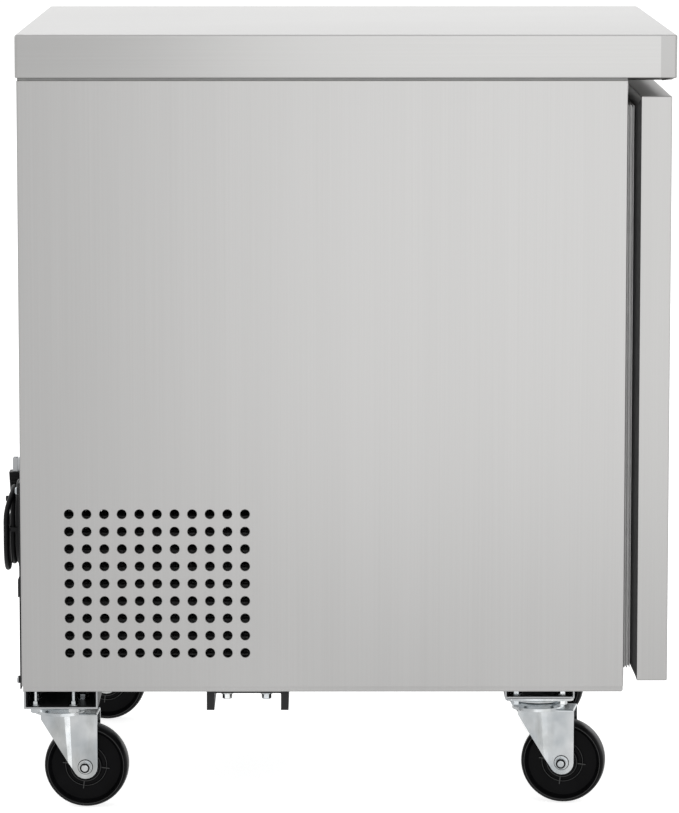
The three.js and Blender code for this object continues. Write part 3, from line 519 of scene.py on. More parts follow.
def worktop_paint(v):
    spread = v.node("SeparateXYZ", None, {0: place(v)}, out=1)
    hair = grain(v, 1, (420, 2.0, 420), 4)
    cloud = grain(v, 2.0, detail=1)
    mix = 0.6 * hair + 0.4 * cloud
    plain = blend(v, (0.515, 0.512, 0.506), (0.625, 0.622, 0.615), mix)
    height = v.node("SeparateXYZ", None, {0: place(v)}, out=2)
    # Painted reflection: the side faces turn darker over the last 19 mm at the front.
    painted_shade_band = (spread < (top_low.y + PAINTED_SHADE_END) * MM) * (height < (top_high.z - 1.5) * MM)
    return {
        "Base_Color": blend_colours(v, plain, (0.455, 0.452, 0.447), painted_shade_band * 0.75),
        "Roughness": 0.26 + 0.15 * hair + 0.06 * painted_shade_band,
        "Normal": bump(v, hair, 0.10, 0.0003),
    }


lengthwise = finish("stainless_worktop", worktop_paint, Metallic=1.0)


def rounded(bm, edges, radius, steps):
    bmesh.ops.bevel(
        bm, geom=edges, offset=radius, segments=steps, profile=0.5, affect="EDGES", material=-1
    )


slab = bmesh.new()
blocked(slab, top_low, top_high)
uprights = [e for e in slab.edges if abs(e.verts[0].co.z - e.verts[1].co.z) > 1]
rounded(slab, uprights, 4, 6)
rims = [e for e in slab.edges if e.verts[0].co.z > top_high.z - 1 and e.verts[1].co.z > top_high.z - 1]
rounded(slab, rims, 2.2, 5)
rims = [e for e in slab.edges if e.verts[0].co.z < top_low.z + 1 and e.verts[1].co.z < top_low.z + 1]
rounded(slab, rims, 1.6, 4)
under = [f for f in slab.faces if f.normal.z < -0.9]
bmesh.ops.inset_region(slab, faces=under, thickness=16)
under = [f for f in slab.faces if f.normal.z < -0.9 and f.calc_area() > 1e5]
grown = bmesh.ops.extrude_face_region(slab, geom=under)
bmesh.ops.delete(slab, geom=under, context="FACES")
raised = [g for g in grown["geom"] if isinstance(g, bmesh.types.BMVert)]
bmesh.ops.translate(slab, vec=(0, 0, 1.5), verts=raised)
made("worktop_pan", slab, lengthwise, "stainless", instead=["worktop"])


def softened(node, name, material, body="root", edge=0.6, steps=2, sharp=30, ends=None):
    """A CAD piece with its edges broken: its copy is merged, cleared of flat triangles, bevelled."""
    bm = bmesh.new()
    bm.from_mesh(nodes[node].data)
    bmesh.ops.remove_doubles(bm, verts=bm.verts, dist=1e-6)
    bmesh.ops.dissolve_limit(bm, angle_limit=math.radians(0.5), verts=bm.verts, edges=bm.edges)
    if ends:
        for face in bm.faces:
            face.material_index = int(abs(face.normal.x) > 0.9)
    piece = standing(name, bm, material, sharp, unit=1)
    if ends:
        piece.data.materials.append(ends)
    soft_edges(piece, edge, steps, sharp)
    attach(piece, body)
    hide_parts(node)
    return piece


def foam_paint(v):
    cells = v.node("TexVoronoi", None, {"Vector": place(v), "Scale": 900.0})
    return {
        "Base_Color": blend(v, (0.50, 0.42, 0.25), (0.72, 0.63, 0.42), grain(v, 60)),
        "Normal": bump(v, cells, 0.5, 0.0006),
    }


rigid_foam = finish("rigid_foam", foam_paint, Roughness=0.9)
softened("worktop_core", "worktop_board", rigid_foam)


# Partly painted shade: the seal bead's dark grey is set to the tone of the shadow line in the seam.
def seal_and_shade_paint(v):
    return {
        "Base_Color": blend(v, (0.22, 0.22, 0.22), (0.30, 0.30, 0.29), grain(v, 90)),
        "Normal": bump(v, grain(v, 300), 0.3, 0.0006),
    }


sealant_and_seam_shade = finish("seal_and_painted_shade", seal_and_shade_paint, Roughness=0.55)
bead = bmesh.new()
for side in (-1, 1):
    inner, outer = sorted((side * 339.5, side * 346.6))
    blocked(bead, (inner, panel_low.y + 0.5, panel_high.z), (outer, panel_high.y - 1, top_low.z + 0.1))
blocked(bead, (-339.6, panel_low.y + 0.5, panel_high.z), (339.6, panel_low.y + 1.6, top_low.z + 0.1))
made("worktop_seal_and_shade_bead", bead, sealant_and_seam_shade, "gasket", edge=0.5)

# ---- Skins and foam that close the body ----
# Galvanised sheet over the top, the back and the floor, and the poured foam between it and the
# liner. They show only in the seams, under the cabinet and through the vents.


def galvanised_paint(v):
    spangle = v.node("TexVoronoi", {"feature": "F1"}, {"Vector": place(v), "Scale": 95.0}, out=1)
    shade = v.node("SeparateColor", None, {0: spangle})
    return {
        "Base_Color": blend(v, (0.47, 0.485, 0.495), (0.565, 0.58, 0.59), shade),
        "Roughness": 0.34 + 0.26 * shade,
    }


galvanised = finish("galvanised_spangle", galvanised_paint, Metallic=1.0)
for node, skin in (
    ("top_panel", "top_skin"),
    ("rear_panel", "rear_skin"),
    ("bottom_panel", "floor_skin"),
    ("compartment_wall", "machine_space_skin"),
):
    softened(node, skin, galvanised, edge=0.3)
softened("insulation", "body_foam", rigid_foam, edge=0.4)
softened("door_foam", "door_slab_foam", rigid_foam, "door", edge=0.4)
face_frame = finish("stainless_face_frame", brushed_paint((1, 1, 0), (0, 0, 1), 480), Metallic=1.0)
softened("front_frame", "face_frame", face_frame, edge=0.4)

# ---- Door skin ----
# A stainless pan, brushed upright, folded back round the foam on all four sides with a small
# bend radius. The recess for the grip is cut near its opening edge.
skin_low, skin_high = corners("door_skin")
cup_low, cup_high = corners("door_handle_cup")
door_paint = brushed_paint((1, 1, 0), (0, 0, 1), 500, (0.535, 0.531, 0.524), 0.06)
door_steel = finish("stainless_door", door_paint, Metallic=1.0)
pan = bmesh.new()
blocked(pan, skin_low, skin_high)
back = [f for f in pan.faces if f.normal.y > 0.9]
bmesh.ops.delete(pan, geom=back, context="FACES_ONLY")
folds = [e for e in pan.edges if len(e.link_faces) == 2]
rounded(pan, folds, 1.9, 5)


def with_borders(faces):
    """Faces, with their edges and their corners, as a cut asks for them."""
    return faces + list({e for f in faces for e in f.edges}) + list({v for f in faces for v in f.verts})


left, right = cup_low.x + 0.4, cup_high.x - 5.4
foot, head = cup_low.z + 5.4, cup_high.z - 5.4
for point, across in (
    ((left, 0, 0), (1, 0, 0)),
    ((right, 0, 0), (1, 0, 0)),
    ((0, 0, foot), (0, 0, 1)),
    ((0, 0, head), (0, 0, 1)),
):
    front = [f for f in pan.faces if f.normal.y < -0.99]
    bmesh.ops.bisect_plane(pan, geom=with_borders(front), plane_co=point, plane_no=across)
mouth = [
    f
    for f in pan.faces
    if f.normal.y < -0.99
    and left < f.calc_center_median().x < right
    and foot < f.calc_center_median().z < head
]
bmesh.ops.delete(pan, geom=mouth, context="FACES")
bmesh.ops.recalc_face_normals(pan, faces=pan.faces)
if next(f for f in pan.faces if f.calc_area() > 1e5).normal.y > 0:
    bmesh.ops.reverse_faces(pan, faces=pan.faces)
sheet_metal("door_pan", pan, door_steel, SHEET, "door", ["door_skin"])


def moulded_paint(dark, light, rough, fine=(900, 0.22)):
    return mottled(dark, light, 120, (rough, 0.12), fine)


grey_moulding = finish("grey_moulding", moulded_paint((0.17, 0.17, 0.17), (0.23, 0.23, 0.23), 0.42))
cup = softened("door_handle_cup", "grip_cup", grey_moulding, "door", edge=0.8, steps=4)
CUP_PROUD = 0.3
for vert in cup.data.vertices:
    vert.co.y = max(vert.co.y, (skin_low.y - CUP_PROUD) * MM)

# ---- Door liner and gasket ----
# The black liner is formed sheet with a broad chamfer round a shallow dish. A grey magnetic gasket
# is pushed into it: a flat dart, a bellows with two grooves, and the magnet's rounded nose.
liner_paint = moulded_paint((0.035, 0.035, 0.036), (0.075, 0.075, 0.076), 0.30, (700, 0.12))
black_liner = finish("black_liner", liner_paint)
softened("door_liner", "door_inner_liner", black_liner, "door", edge=2.0, steps=4)

gasket_paint = mottled((0.38, 0.38, 0.38), (0.50, 0.50, 0.495), 70, (0.46, 0.14), (800, 0.15))
vinyl = finish("grey_vinyl", gasket_paint)
seal_low, seal_high = corners("door_gasket")
seal = bmesh.new()
profile = [(0.8, 0.0), (0.4, 0.9), (2.6, 1.7), (2.6, 2.5), (0.3, 3.0), (0.0, 3.8), (0.3, 4.5)]
profile += [(1.9, 4.9), (1.9, 5.4), (0.2, 5.9), (0.0, 6.6), (0.5, 7.4), (1.6, 7.8)]
profile += [(22.6, 7.8), (23.6, 7.2), (23.9, 6.4), (23.4, 5.6), (20.5, 5.2), (20.5, 2.6)]
profile += [(22.8, 2.2), (22.8, 0.6), (21.8, 0.0)]
middle = ((seal_low.x + seal_high.x) / 2, (seal_low.z + seal_high.z) / 2)
half = ((seal_high.x - seal_low.x) / 2, (seal_high.z - seal_low.z) / 2)
rings = []
for inset, out in profile:
    square = bmesh.ops.create_grid(seal, x_segments=1, y_segments=1, size=1)["verts"]
    for vert in square:
        vert.co = Vector(
            (
                middle[0] + math.copysign(half[0] - inset, vert.co.x),
                seal_low.y + out,
                middle[1] + math.copysign(half[1] - inset, vert.co.y),
            )
        )
    rings.append(list({e for v in square for e in v.link_edges}))
bmesh.ops.delete(seal, geom=seal.faces[:], context="FACES_ONLY")
for first, second in zip(rings, rings[1:] + rings[:1]):
    bmesh.ops.bridge_loops(seal, edges=first + second)
made("door_seal", seal, vinyl, "gasket", "door", ["door_gasket"], sharp=50)

# ---- Breaker strip and inner liner ----
# White plastic trim closes the opening between the face frame and the inner liner. The liner is
# formed from pebble-textured aluminium sheet.
white_moulding = finish("white_moulding", moulded_paint((0.70, 0.70, 0.68), (0.78, 0.78, 0.76), 0.34))
softened("breaker_strip", "breaker_trim", white_moulding, edge=0.9, steps=3)


def stucco_paint(v):
    pebble = v.node("TexVoronoi", {"feature": "SMOOTH_F1"}, {"Vector": place(v), "Scale": 210.0})
    return {
        "Base_Color": blend(v, (0.58, 0.59, 0.60), (0.70, 0.71, 0.72), grain(v, 14)),
        "Roughness": 0.36 + 0.1 * grain(v, 40),
        "Normal": bump(v, pebble, 0.35, 0.0012),
    }


stucco = finish("stucco_aluminium", stucco_paint, Metallic=1.0)
softened("inner_liner", "inside_liner", stucco, edge=0.8, steps=3)

# ---- Hinge brackets ----
# Zinc-plated angles with softened edges, one above the door and one below it. Two pan-head screws
# hold each to the face frame.


def zinc_paint(v):
    # Painted reflection: the light and dark patches in the colour stand for bright and dark surroundings
    # mirrored in the plating. The darker streaks are stains.
    patch = grain(v, 55, detail=4)
    painted_reflection_patch = grain(v, 16)
    stain = v.node("MapRange", None, {0: grain(v, 22, (1, 1, 0.35), 5), 1: 0.52, 2: 0.74})
    painted_reflection_patch = v.node("MapRange", None, {0: painted_reflection_patch, 1: 0.36, 2: 0.64})
    plain = blend(v, (0.50, 0.535, 0.56), (0.84, 0.855, 0.86), painted_reflection_patch)
    return {
        "Base_Color": blend_colours(v, plain, (0.30, 0.30, 0.27), stain * 0.7),
        "Roughness": 0.10 + 0.20 * patch,
        "Normal": bump(v, patch, 0.10, 0.0005),
    }


zinc = finish("bright_zinc", zinc_paint, Metallic=1.0)
for end in ("top", "bottom"):
    softened(f"{end}_hinge_bracket", f"{end}_hinge_plate", zinc, edge=0.8, steps=3)


WASHER, CROWN = 1.4, 0.8


def hexagon(bm, centre, axis, across_flats, height, washer_and_shade_ring=0.0):
    """A hexagon head or nut with its corners turned off, on a washer if it has one."""
    along = AXES[axis]
    sign = math.copysign(1, height)
    turn = along.to_track_quat("Z", "Y").to_matrix().to_4x4()
    base = Vector(centre)
    if washer_and_shade_ring:
        bmesh.ops.create_cone(
            bm, cap_ends=True, segments=28, radius1=washer_and_shade_ring, radius2=washer_and_shade_ring, depth=WASHER,
            matrix=Matrix.Translation(base + along * sign * WASHER / 2) @ turn,
        )
        base += along * sign * WASHER
    nut = bmesh.ops.create_cone(
        bm, cap_ends=True, segments=6, radius1=across_flats / math.sqrt(3),
        radius2=across_flats / math.sqrt(3), depth=abs(height),
        matrix=Matrix.Translation(base + along * height / 2) @ turn,
    )["verts"]
    outer = base + along * height
    face = [f for v in nut for f in v.link_faces if abs(f.normal.dot(along)) > 0.99]
    face = {f for f in face if (f.calc_center_median() - outer).length < 0.1}
    bmesh.ops.inset_region(bm, faces=list(face), thickness=across_flats * 0.07)
    bmesh.ops.translate(bm, vec=along * sign * CROWN, verts=[v for f in face for v in f.verts])


def pan_head(bm, centre, axis, radius, height):
    """A low domed screw head."""
    sign = math.copysign(1, height)
    dome = [(0, 0), (radius, 0), (radius, 0.35 * height), (radius * 0.86, 0.75 * height)]
    dome += [(radius * 0.55, height), (radius * 0.3, height), (0, 0.55 * height)]
    turned(bm, dome, axis, centre, 20)


hinge_screws = bmesh.new()
for end in ("top", "bottom"):
    low, high = corners(f"{end}_hinge_bracket")
    z = high.z - 5 if end == "top" else low.z + 5
    for x in (low.x + 7, low.x + 22):
        pan_head(hinge_screws, (x, high.y - 3, z), "y", 3.4, -2.0)
made("hinge_screws", hinge_screws, zinc, "zinc")

# ---- Cross channels and their bolts ----
# Black pressed-steel channels carry the casters and brace the floor. Zinc hexagon bolts hold the
# caster plates, and long plain bolts tie the rear channel up to the cabinet.
enamel = mottled((0.010, 0.010, 0.011), (0.030, 0.030, 0.031), 9, (0.30, 0.20), (500, 0.20))
black_steel = finish("black_enamel", enamel, Specular_IOR_Level=0.28)


def cut_steel_paint(v):
    streak = grain(v, 1, (300, 900, 900), 3)
    return {
        "Base_Color": blend(v, (0.40, 0.41, 0.42), (0.66, 0.67, 0.68), streak),
        "Roughness": 0.30 + 0.2 * streak,
    }


cut_steel = finish("bare_cut_edge", cut_steel_paint, Metallic=1.0)
for channel in ("front_caster_channel", "rear_caster_channel", "centre_channel"):
    bare = None if channel == "centre_channel" else cut_steel
    rail = channel.replace("channel", "rail")
    softened(channel, rail, black_steel, edge=0.7, steps=3, ends=bare)

web_low, _ = corners("rear_caster_channel")
_, centre_high = corners("centre_channel")
KINGPINS = {
    "front_left": (-234.55, -230.3, -9),
    "front_right": (234.55, -230.3, -9),
    "rear_left": (-260.65, 338.3, -3),
    "rear_right": (260.65, 338.3, -3),
}
PLATE_BOLTS = [(i, j) for i in (-30, 30) for j in (-27.6, 27.6)]
PLATE_UNDER = 128.0
WEB_TOP = web_low.z + 2.5
bolts = bmesh.new()
for x0, y0, _ in KINGPINS.values():
    for i, j in PLATE_BOLTS:
        hexagon(bolts, (x0 + i, y0 + j, PLATE_UNDER), "z", 10, -5.4, 0)
        hexagon(bolts, (x0 + i, y0 + j, WEB_TOP), "z", 10, 5.0, 7.2)
for side in (-1, 1):
    for y in (364.3, 319.6):
        x = side * 329
        turned(bolts, [(0, WEB_TOP), (2.3, WEB_TOP), (2.3, 153.2), (0, 153.2)], "z", (x, y, 0), 16)
        hexagon(bolts, (x, y, WEB_TOP), "z", 8, 3.6, 6)
        hexagon(bolts, (x, y, web_low.z), "z", 10, -5.2, 0)
    for y in (139, 93):
        hexagon(bolts, (side * 330, y, centre_high.z - 4.7), "z", 10, -5.6, 7.4)
made("channel_bolts", bolts, zinc, "zinc", edge=0.25)

# ---- Casters ----
# Pressed and plated swivel forks with a sloping crease down each leg and a domed crown over the ball
# race. A hexagon bolt carries each moulded black wheel, which has a hub, ribs, a crowned tread and
# thin polished lips that catch the light.
TRAIL, AXLE = 30.5, 50.0
LEG_OUT, LEG_GAUGE = 21.0, 2.5
LIP = 0.45
SHOULDER = 114.5
wheel_paint = mottled((0.002, 0.002, 0.002), (0.007, 0.007, 0.008), 45, (0.20, 0.20), (420, 0.08), 5)
wheel_black = finish("wheel_moulding", wheel_paint, Specular_IOR_Level=0.07)
polished_black = finish("polished_wheel_ring", wheel_paint, Specular_IOR_Level=0.9, Coat_Weight=0.25)


def set_down(bm, corner):
    x, y, yaw = KINGPINS[corner]
    turn = Matrix.Translation((x, y, 0)) @ Matrix.Rotation(math.radians(yaw), 4, "Z")
    bmesh.ops.transform(bm, matrix=turn, verts=bm.verts)
    return bm


LEG_REAR, LEG_FRONT, EYE = 22.4, -45.0, 14.5
CREASES = ((-5.5, 0.075), (-12.5, 0.035))
CREASE_DEPTH = 1.1


def fork_leg(bm, side):
    """One leg: a tapering outline with a round foot, cut along the crease lines and creased."""
    x = side * LEG_OUT
    outline = [(LEG_REAR, SHOULDER - 1), (LEG_FRONT, SHOULDER - 1), (LEG_FRONT, AXLE + 2)]
    for step in range(9):
        angle = math.pi + step * (math.pi - 0.62) / 8
        y, z = -TRAIL + EYE * math.cos(angle), AXLE + EYE * math.sin(angle)
        outline.append((y, z))
    outline.append((LEG_REAR, SHOULDER - 8))
    points = [bm.verts.new((x, y, z)) for y, z in outline]
    leg = [bm.faces.new(points)]
    for at, lean in CREASES:
        cut = bmesh.ops.bisect_plane(
            bm, geom=with_borders(leg), plane_co=(x, at, SHOULDER), plane_no=(0, 1, -lean)
        )["geom"]
        leg = [g for g in cut if isinstance(g, bmesh.types.BMFace)]
    for vert in {v for f in leg for v in f.verts}:
        behind, ahead = (vert.co.y - at + (SHOULDER - vert.co.z) * lean for at, lean in CREASES)
        if behind > 0:
            vert.co.x -= side * min(3.0, behind * 0.13)
        elif ahead < 0.01:
            vert.co.x -= side * CREASE_DEPTH


def caster(corner):
    fork = bmesh.new()
    for side in (-1, 1):
        fork_leg(fork, side)
    bmesh.ops.recalc_face_normals(fork, faces=fork.faces)
    for face in fork.faces:
        outward = face.normal.x * face.calc_center_median().x
        if outward < 0:
            face.normal_flip()
    bmesh.ops.solidify(fork, geom=fork.faces[:], thickness=LEG_GAUGE)
    crown_low = (-LEG_OUT, LEG_FRONT, SHOULDER - LEG_GAUGE)
    crown = blocked(fork, crown_low, (LEG_OUT, LEG_REAR, SHOULDER))
    ridge = [e for v in crown for e in v.link_edges]
    ridge = {e for e in ridge if all(abs(v.co.z - SHOULDER) < 0.1 for v in e.verts)}
    rounded(fork, list(ridge), 2.2, 4)
    dome = [(0, SHOULDER - 2), (31.5, SHOULDER - 2), (31, SHOULDER + 1.5), (29.4, SHOULDER + 4)]
    dome += [(27.4, SHOULDER + 6), (25, SHOULDER + 7.2), (22, SHOULDER + 7.5), (0, SHOULDER + 7.5)]
    turned(fork, dome, "z", (0, 0, 0), 48)
    made(f"{corner}_caster_yoke", set_down(fork, corner), zinc, "zinc", f"{corner}_fork",
         [f"{corner}_caster_fork"], edge=0.5, sharp=8)

    plate = bmesh.new()
    blocked(plate, (-42, -40.5, PLATE_UNDER), (42, 40.5, PLATE_UNDER + 3))
    upright_edges = [e for e in plate.edges if abs(e.verts[0].co.z - e.verts[1].co.z) > 1]
    rounded(plate, upright_edges, 8, 6)
    race = [(0, PLATE_UNDER + 1), (22, PLATE_UNDER + 1), (22, PLATE_UNDER - 1), (30, PLATE_UNDER - 2)]
    race += [(31.4, PLATE_UNDER - 3.4), (30.6, PLATE_UNDER - 5), (24, PLATE_UNDER - 5.4)]
    race += [(0, PLATE_UNDER - 5.4)]
    turned(plate, race, "z", (0, 0, 0), 40)
    pin = [(0, 106.6), (8.6, 106.6), (9.8, 107.6), (9.8, 111.2), (0, 111.2)]
    turned(plate, pin, "z", (0, 0, 0), 24)
    x, y, _ = KINGPINS[corner]
    bmesh.ops.translate(plate, vec=(x, y, 0), verts=plate.verts)
    made(f"{corner}_caster_top", plate, zinc, "zinc", "root", [f"{corner}_caster_plate"], edge=0.4)

    axle, shade_rings, lips = bmesh.new(), bmesh.new(), bmesh.new()
    turned(axle, [(0, -26.5), (4, -26.5), (4, 27.5), (0, 27.5)], "x", (0, -TRAIL, AXLE), 20)
    seat = LEG_OUT - CREASE_DEPTH
    for side in (-1, 1):
        hexagon(axle, (side * (seat + 0.2), -TRAIL, AXLE), "x", 12.6, side * 4.4, 8.4)
        bolt_end = (side * (seat + 6.75), -TRAIL, AXLE)
        end = [(0, -0.5), (4.1, -0.5), (4.1, side * 1.6), (3.4, side * 2.2), (0, side * 2.2)]
        turned(axle, end, "x", bolt_end, 24)
        # Painted shadow: a black disc behind each bolt end and a black ring round each nut stand for the
        # shade in the gap there.
        turned(shade_rings, [(0, 0), (5.8, 0), (5.8, side * 0.9), (0, side * 0.9)], "x", bolt_end, 28)
        washer_and_shade_ring = [(7, 0), (9.1, 0), (9.1, side * 0.35), (7, side * 0.35)]
        turned(shade_rings, washer_and_shade_ring, "x", (side * seat, -TRAIL, AXLE), 28)
        for radius, out in ((45.4, 15.7), (24.4, 9.7), (17.9, 15.1)):
            turns = [k * math.pi / 3 for k in range(7)]
            bead = [(radius + LIP * math.cos(t), out * side + LIP * math.sin(t)) for t in turns]
            turned(lips, bead, "x", (0, -TRAIL, AXLE), 64)
        for rib in range(4):
            turn = Matrix.Rotation(math.pi * rib / 2 + 0.12, 4, "X")
            turn = Matrix.Translation((0, -TRAIL, AXLE)) @ turn
            verts = blocked(lips, (side * 9 - 2.4, -0.5, 18), (side * 9 + 2.4, 0.5, 28))
            bmesh.ops.transform(lips, matrix=turn, verts=verts)
    made(f"{corner}_caster_bolt", set_down(axle, corner), zinc, "zinc", f"{corner}_fork",
         [f"{corner}_caster_axle"], edge=0.3)
    made(f"{corner}_bolt_shade_rings", set_down(shade_rings, corner), wheel_black, "black_steel", f"{corner}_fork")
    made(f"{corner}_wheel_lips", set_down(lips, corner), polished_black, "wheel_plastic", f"{corner}_wheel")

    wheel = bmesh.new()
    near = [(4.4, -17.2), (10.5, -17.2), (11.2, -16.4), (16.6, -16.2), (18, -15.2), (18.4, -12)]
    near += [(19.4, -9), (23.2, -8.6), (23.8, -9.8), (25, -9.8), (25.6, -8.4), (40.5, -7.6)]
    near += [(42.6, -9.4), (43.6, -14.2), (44.6, -15.6), (46.4, -15.9), (48.6, -13.6)]
    near += [(49.6, -9), (50, -3)]
    far = [(r, -a) for r, a in reversed(near)]
    turned(wheel, near + far + near[:1], "x", (0, -TRAIL, AXLE), 72)
    made(f"{corner}_caster_tyre", set_down(wheel, corner), wheel_black, "wheel_plastic",
         f"{corner}_wheel", [f"{corner}_caster_wheel"], edge=0.35, sharp=40)


for corner in KINGPINS:
    caster(corner)

# ---- Rear cover ----
# Black sheet with rows of louvre slots, held by a pan-head screw at each corner, over the machine
# space. A rocker switch sits in it and a bent hook carries the spare mains lead.
softened("rear_cover", "rear_louvre_cover", black_steel, edge=0.45)
cover_low, cover_high = corners("rear_cover")
COVER_BACK, PANEL_BACK = 383.4, 377.7
cover_screws = bmesh.new()
for x in (cover_low.x + 8, cover_high.x - 8):
    for z in (cover_low.z + 10, cover_high.z - 10):
        pan_head(cover_screws, (x, COVER_BACK, z), "y", 4.3, 2.2)
for x in (-300, -100, 100, 300):
    for z in (420, 850):
        pan_head(cover_screws, (x, PANEL_BACK, z), "y", 3.6, 1.6)
made("cover_screws", cover_screws, zinc, "zinc")
black_paint = moulded_paint((0.006, 0.006, 0.007), (0.014, 0.014, 0.015), 0.34)
black_moulding = finish("black_moulding", black_paint, Specular_IOR_Level=0.3)
softened(
    "power_switch", "switch_rocker", black_moulding, "power_switch", edge=0.5, steps=3
)
hook = softened("cord_hook", "hank_hook", black_steel, edge=0.7, steps=3)
switch_low, switch_high = corners("power_switch")
bezel = bmesh.new()
bezel_low = (switch_low.x - 2.6, 380.9, switch_low.z - 3)
bezel_high = (switch_high.x + 2.6, 382.6, switch_high.z + 3)
outer = blocked(bezel, bezel_low, bezel_high)
ends = list({f for v in outer for f in v.link_faces if abs(f.normal.y) > 0.9})
bmesh.ops.inset_individual(bezel, faces=ends, thickness=2.0)
bridge = [f for f in bezel.faces if abs(f.normal.y) > 0.9 and f.calc_area() > 300]
loops = [e for f in bridge for e in f.edges]
bmesh.ops.delete(bezel, geom=bridge, context="FACES_ONLY")
bmesh.ops.bridge_loops(bezel, edges=loops)
made("switch_bezel", bezel, black_moulding, "black_plastic", edge=0.3)

# ---- Machine space ----
# The fin-and-tube condenser, coloured near black as painted shade for the dark inside the left vents,
# stands behind them with its fan and motor, the compressor on rubber feet beside it, all on a
# galvanised tray with a wiring box above.
# Painted shade: the coil and its tubes are near black so the vents look dark inside.
coil_shade_paint = mottled((0.004, 0.004, 0.004), (0.014, 0.014, 0.014), 60, (0.34, 0.3))
coil_painted_shade = finish("coil_painted_shade", coil_shade_paint, Specular_IOR_Level=0.3)
coil_low, coil_high = corners("condenser_coil")
coil = bmesh.new()
FINS = 46
for fin in range(FINS):
    y = coil_low.y + 10 + fin * (coil_high.y - coil_low.y - 20) / (FINS - 1)
    fin_low = (coil_low.x + 5, y - 0.25, coil_low.z + 8)
    blocked(coil, fin_low, (coil_high.x - 2, y + 0.25, coil_high.z - 8))
for end in (coil_low.y + 2, coil_high.y - 2):
    blocked(coil, (coil_low.x, end - 2, coil_low.z), (coil_high.x, end + 2, coil_high.z))
for bar in (coil_low.z + 3, coil_high.z - 3):
    blocked(coil, (coil_low.x, coil_low.y, bar - 3), (coil_high.x, coil_high.y, bar + 3))
made("condenser_fins", coil, coil_painted_shade, "aluminium", instead=["condenser_coil"])
tubes = bmesh.new()
near, far = coil_low.y - 1, coil_high.y + 1
tube = [(0, near), (3.6, near), (3.6, far), (0, far)]
for row in range(10):
    for x in (coil_low.x + 3.5, coil_low.x + 24):
        z = coil_low.z + 15 + row * 20.5
        turned(tubes, tube, "y", (x, 0, z), 12)
copper_paint = brushed_paint((1, 0, 1), (0, 1, 0), 200, (0.55, 0.28, 0.17), 0.08)
tube_shade_paint = moulded_paint((0.010, 0.010, 0.010), (0.03, 0.03, 0.03), 0.22)
made("condenser_tubes", tubes, finish("tube_painted_shade", tube_shade_paint), "black_steel")
copper = finish("drawn_copper", copper_paint, Metallic=1.0)
softened("filter_drier", "liquid_line_drier", copper, edge=0.6, steps=3)
softened("compressor", "compressor_shell", black_steel, edge=1.6, steps=3, sharp=24)
softened("condenser_fan_motor", "fan_motor", black_steel, edge=1.2, steps=3)
softened("unit_base", "machine_tray", galvanised, edge=0.5)
softened("control_box", "wiring_box", grey_moulding, edge=2.0, steps=4)
box_low, box_high = corners("control_box")
lid = bmesh.new()
lid_low = (box_low.x - 1.6, box_low.y + 3, box_low.z + 3)
blocked(lid, lid_low, (box_low.x + 0.6, box_high.y - 3, box_high.z - 3))
for y in (box_low.y + 9, box_high.y - 9):
    for z in (box_low.z + 9, box_high.z - 9):
        pan_head(lid, (box_low.x - 1.5, y, z), "x", 3, -1.6)
made("wiring_box_lid", lid, grey_moulding, "grey_plastic", edge=0.6, steps=3)


def fan_blades(name, node, axis, centre, radius, hub, count, body):
    """A moulded hub with swept, twisted blades of even gauge."""
    low, high = corners(node)
    bm = bmesh.new()
    a, b = (low.x, high.x) if axis == "x" else (low.y, high.y)
    middle = (a + b) / 2
    place_at = Vector((0, centre[1], centre[2]) if axis == "x" else (centre[0], 0, centre[2]))
    shell = [(0, a + 1), (hub - 3, a + 1), (hub, a + 4), (hub, b - 1), (hub - 3, b), (0, b)]
    turned(bm, shell, axis, centre, 36)
    for blade in range(count):
        sheet = bmesh.ops.create_grid(bm, x_segments=6, y_segments=8, size=1)["verts"]
        for vert in sheet:
            out = (vert.co.y + 1) / 2
            reach = hub - 1.5 + out * (radius - hub + 1.5)
            sweep = vert.co.x * (0.50 + 0.10 * out) + 0.22 * out * out
            pitch = -vert.co.x * (7.5 - 3.0 * out) + 1.4 * (1 - vert.co.x * vert.co.x)
            angle = sweep + 2 * math.pi * blade / count
            u, w = reach * math.cos(angle), reach * math.sin(angle)
            spot = (middle + pitch, u, w) if axis == "x" else (u, middle + pitch, w)
            vert.co = Vector(spot) + place_at
        faces = list({f for v in sheet for f in v.link_faces})
        bmesh.ops.solidify(bm, geom=faces, thickness=1.4)
    made(name, bm, black_moulding, "black_plastic", body, [node], sharp=40)


COIL_FAN = (0, 220.6, 275.2)
fan_blades("condenser_fan_blades", "condenser_fan", "x", COIL_FAN, 84, 21, 5, "condenser_fan")

# ---- Evaporator, its cover, fan and thermostat ----
# A finned aluminium coil and a small fan hide behind a white moulded cover with intake slots and a
# wire guard. The thermostat knob turns on the cover against a printed scale of plain marks.
bright_fin = finish("bare_fins", stucco_paint, Metallic=1.0)
softened("evaporator", "evaporator_coil", bright_fin, edge=0.4)
softened("evaporator_cover", "fan_cover", white_moulding, edge=1.6, steps=4)
fan_low, _ = corners("evaporator_cover")
FAN_X, FAN_Z = 122.0, 531.6
fan_blades("evaporator_fan_blades", "evaporator_fan", "y", (FAN_X, 0, FAN_Z), 64, 17, 5, "evaporator_fan")


def wire(bm, points, radius, sides=8, closed=False):
    """A round wire along straight runs between points."""
    pairs = list(zip(points, points[1:])) + ([(points[-1], points[0])] if closed else [])
    for a, b in pairs:
        a, b = Vector(a), Vector(b)
        turn = (b - a).to_track_quat("Z", "Y").to_matrix().to_4x4()
        bmesh.ops.create_cone(
            bm, cap_ends=True, segments=sides, radius1=radius, radius2=radius,
            depth=(b - a).length, matrix=Matrix.Translation((a + b) / 2) @ turn,
        )


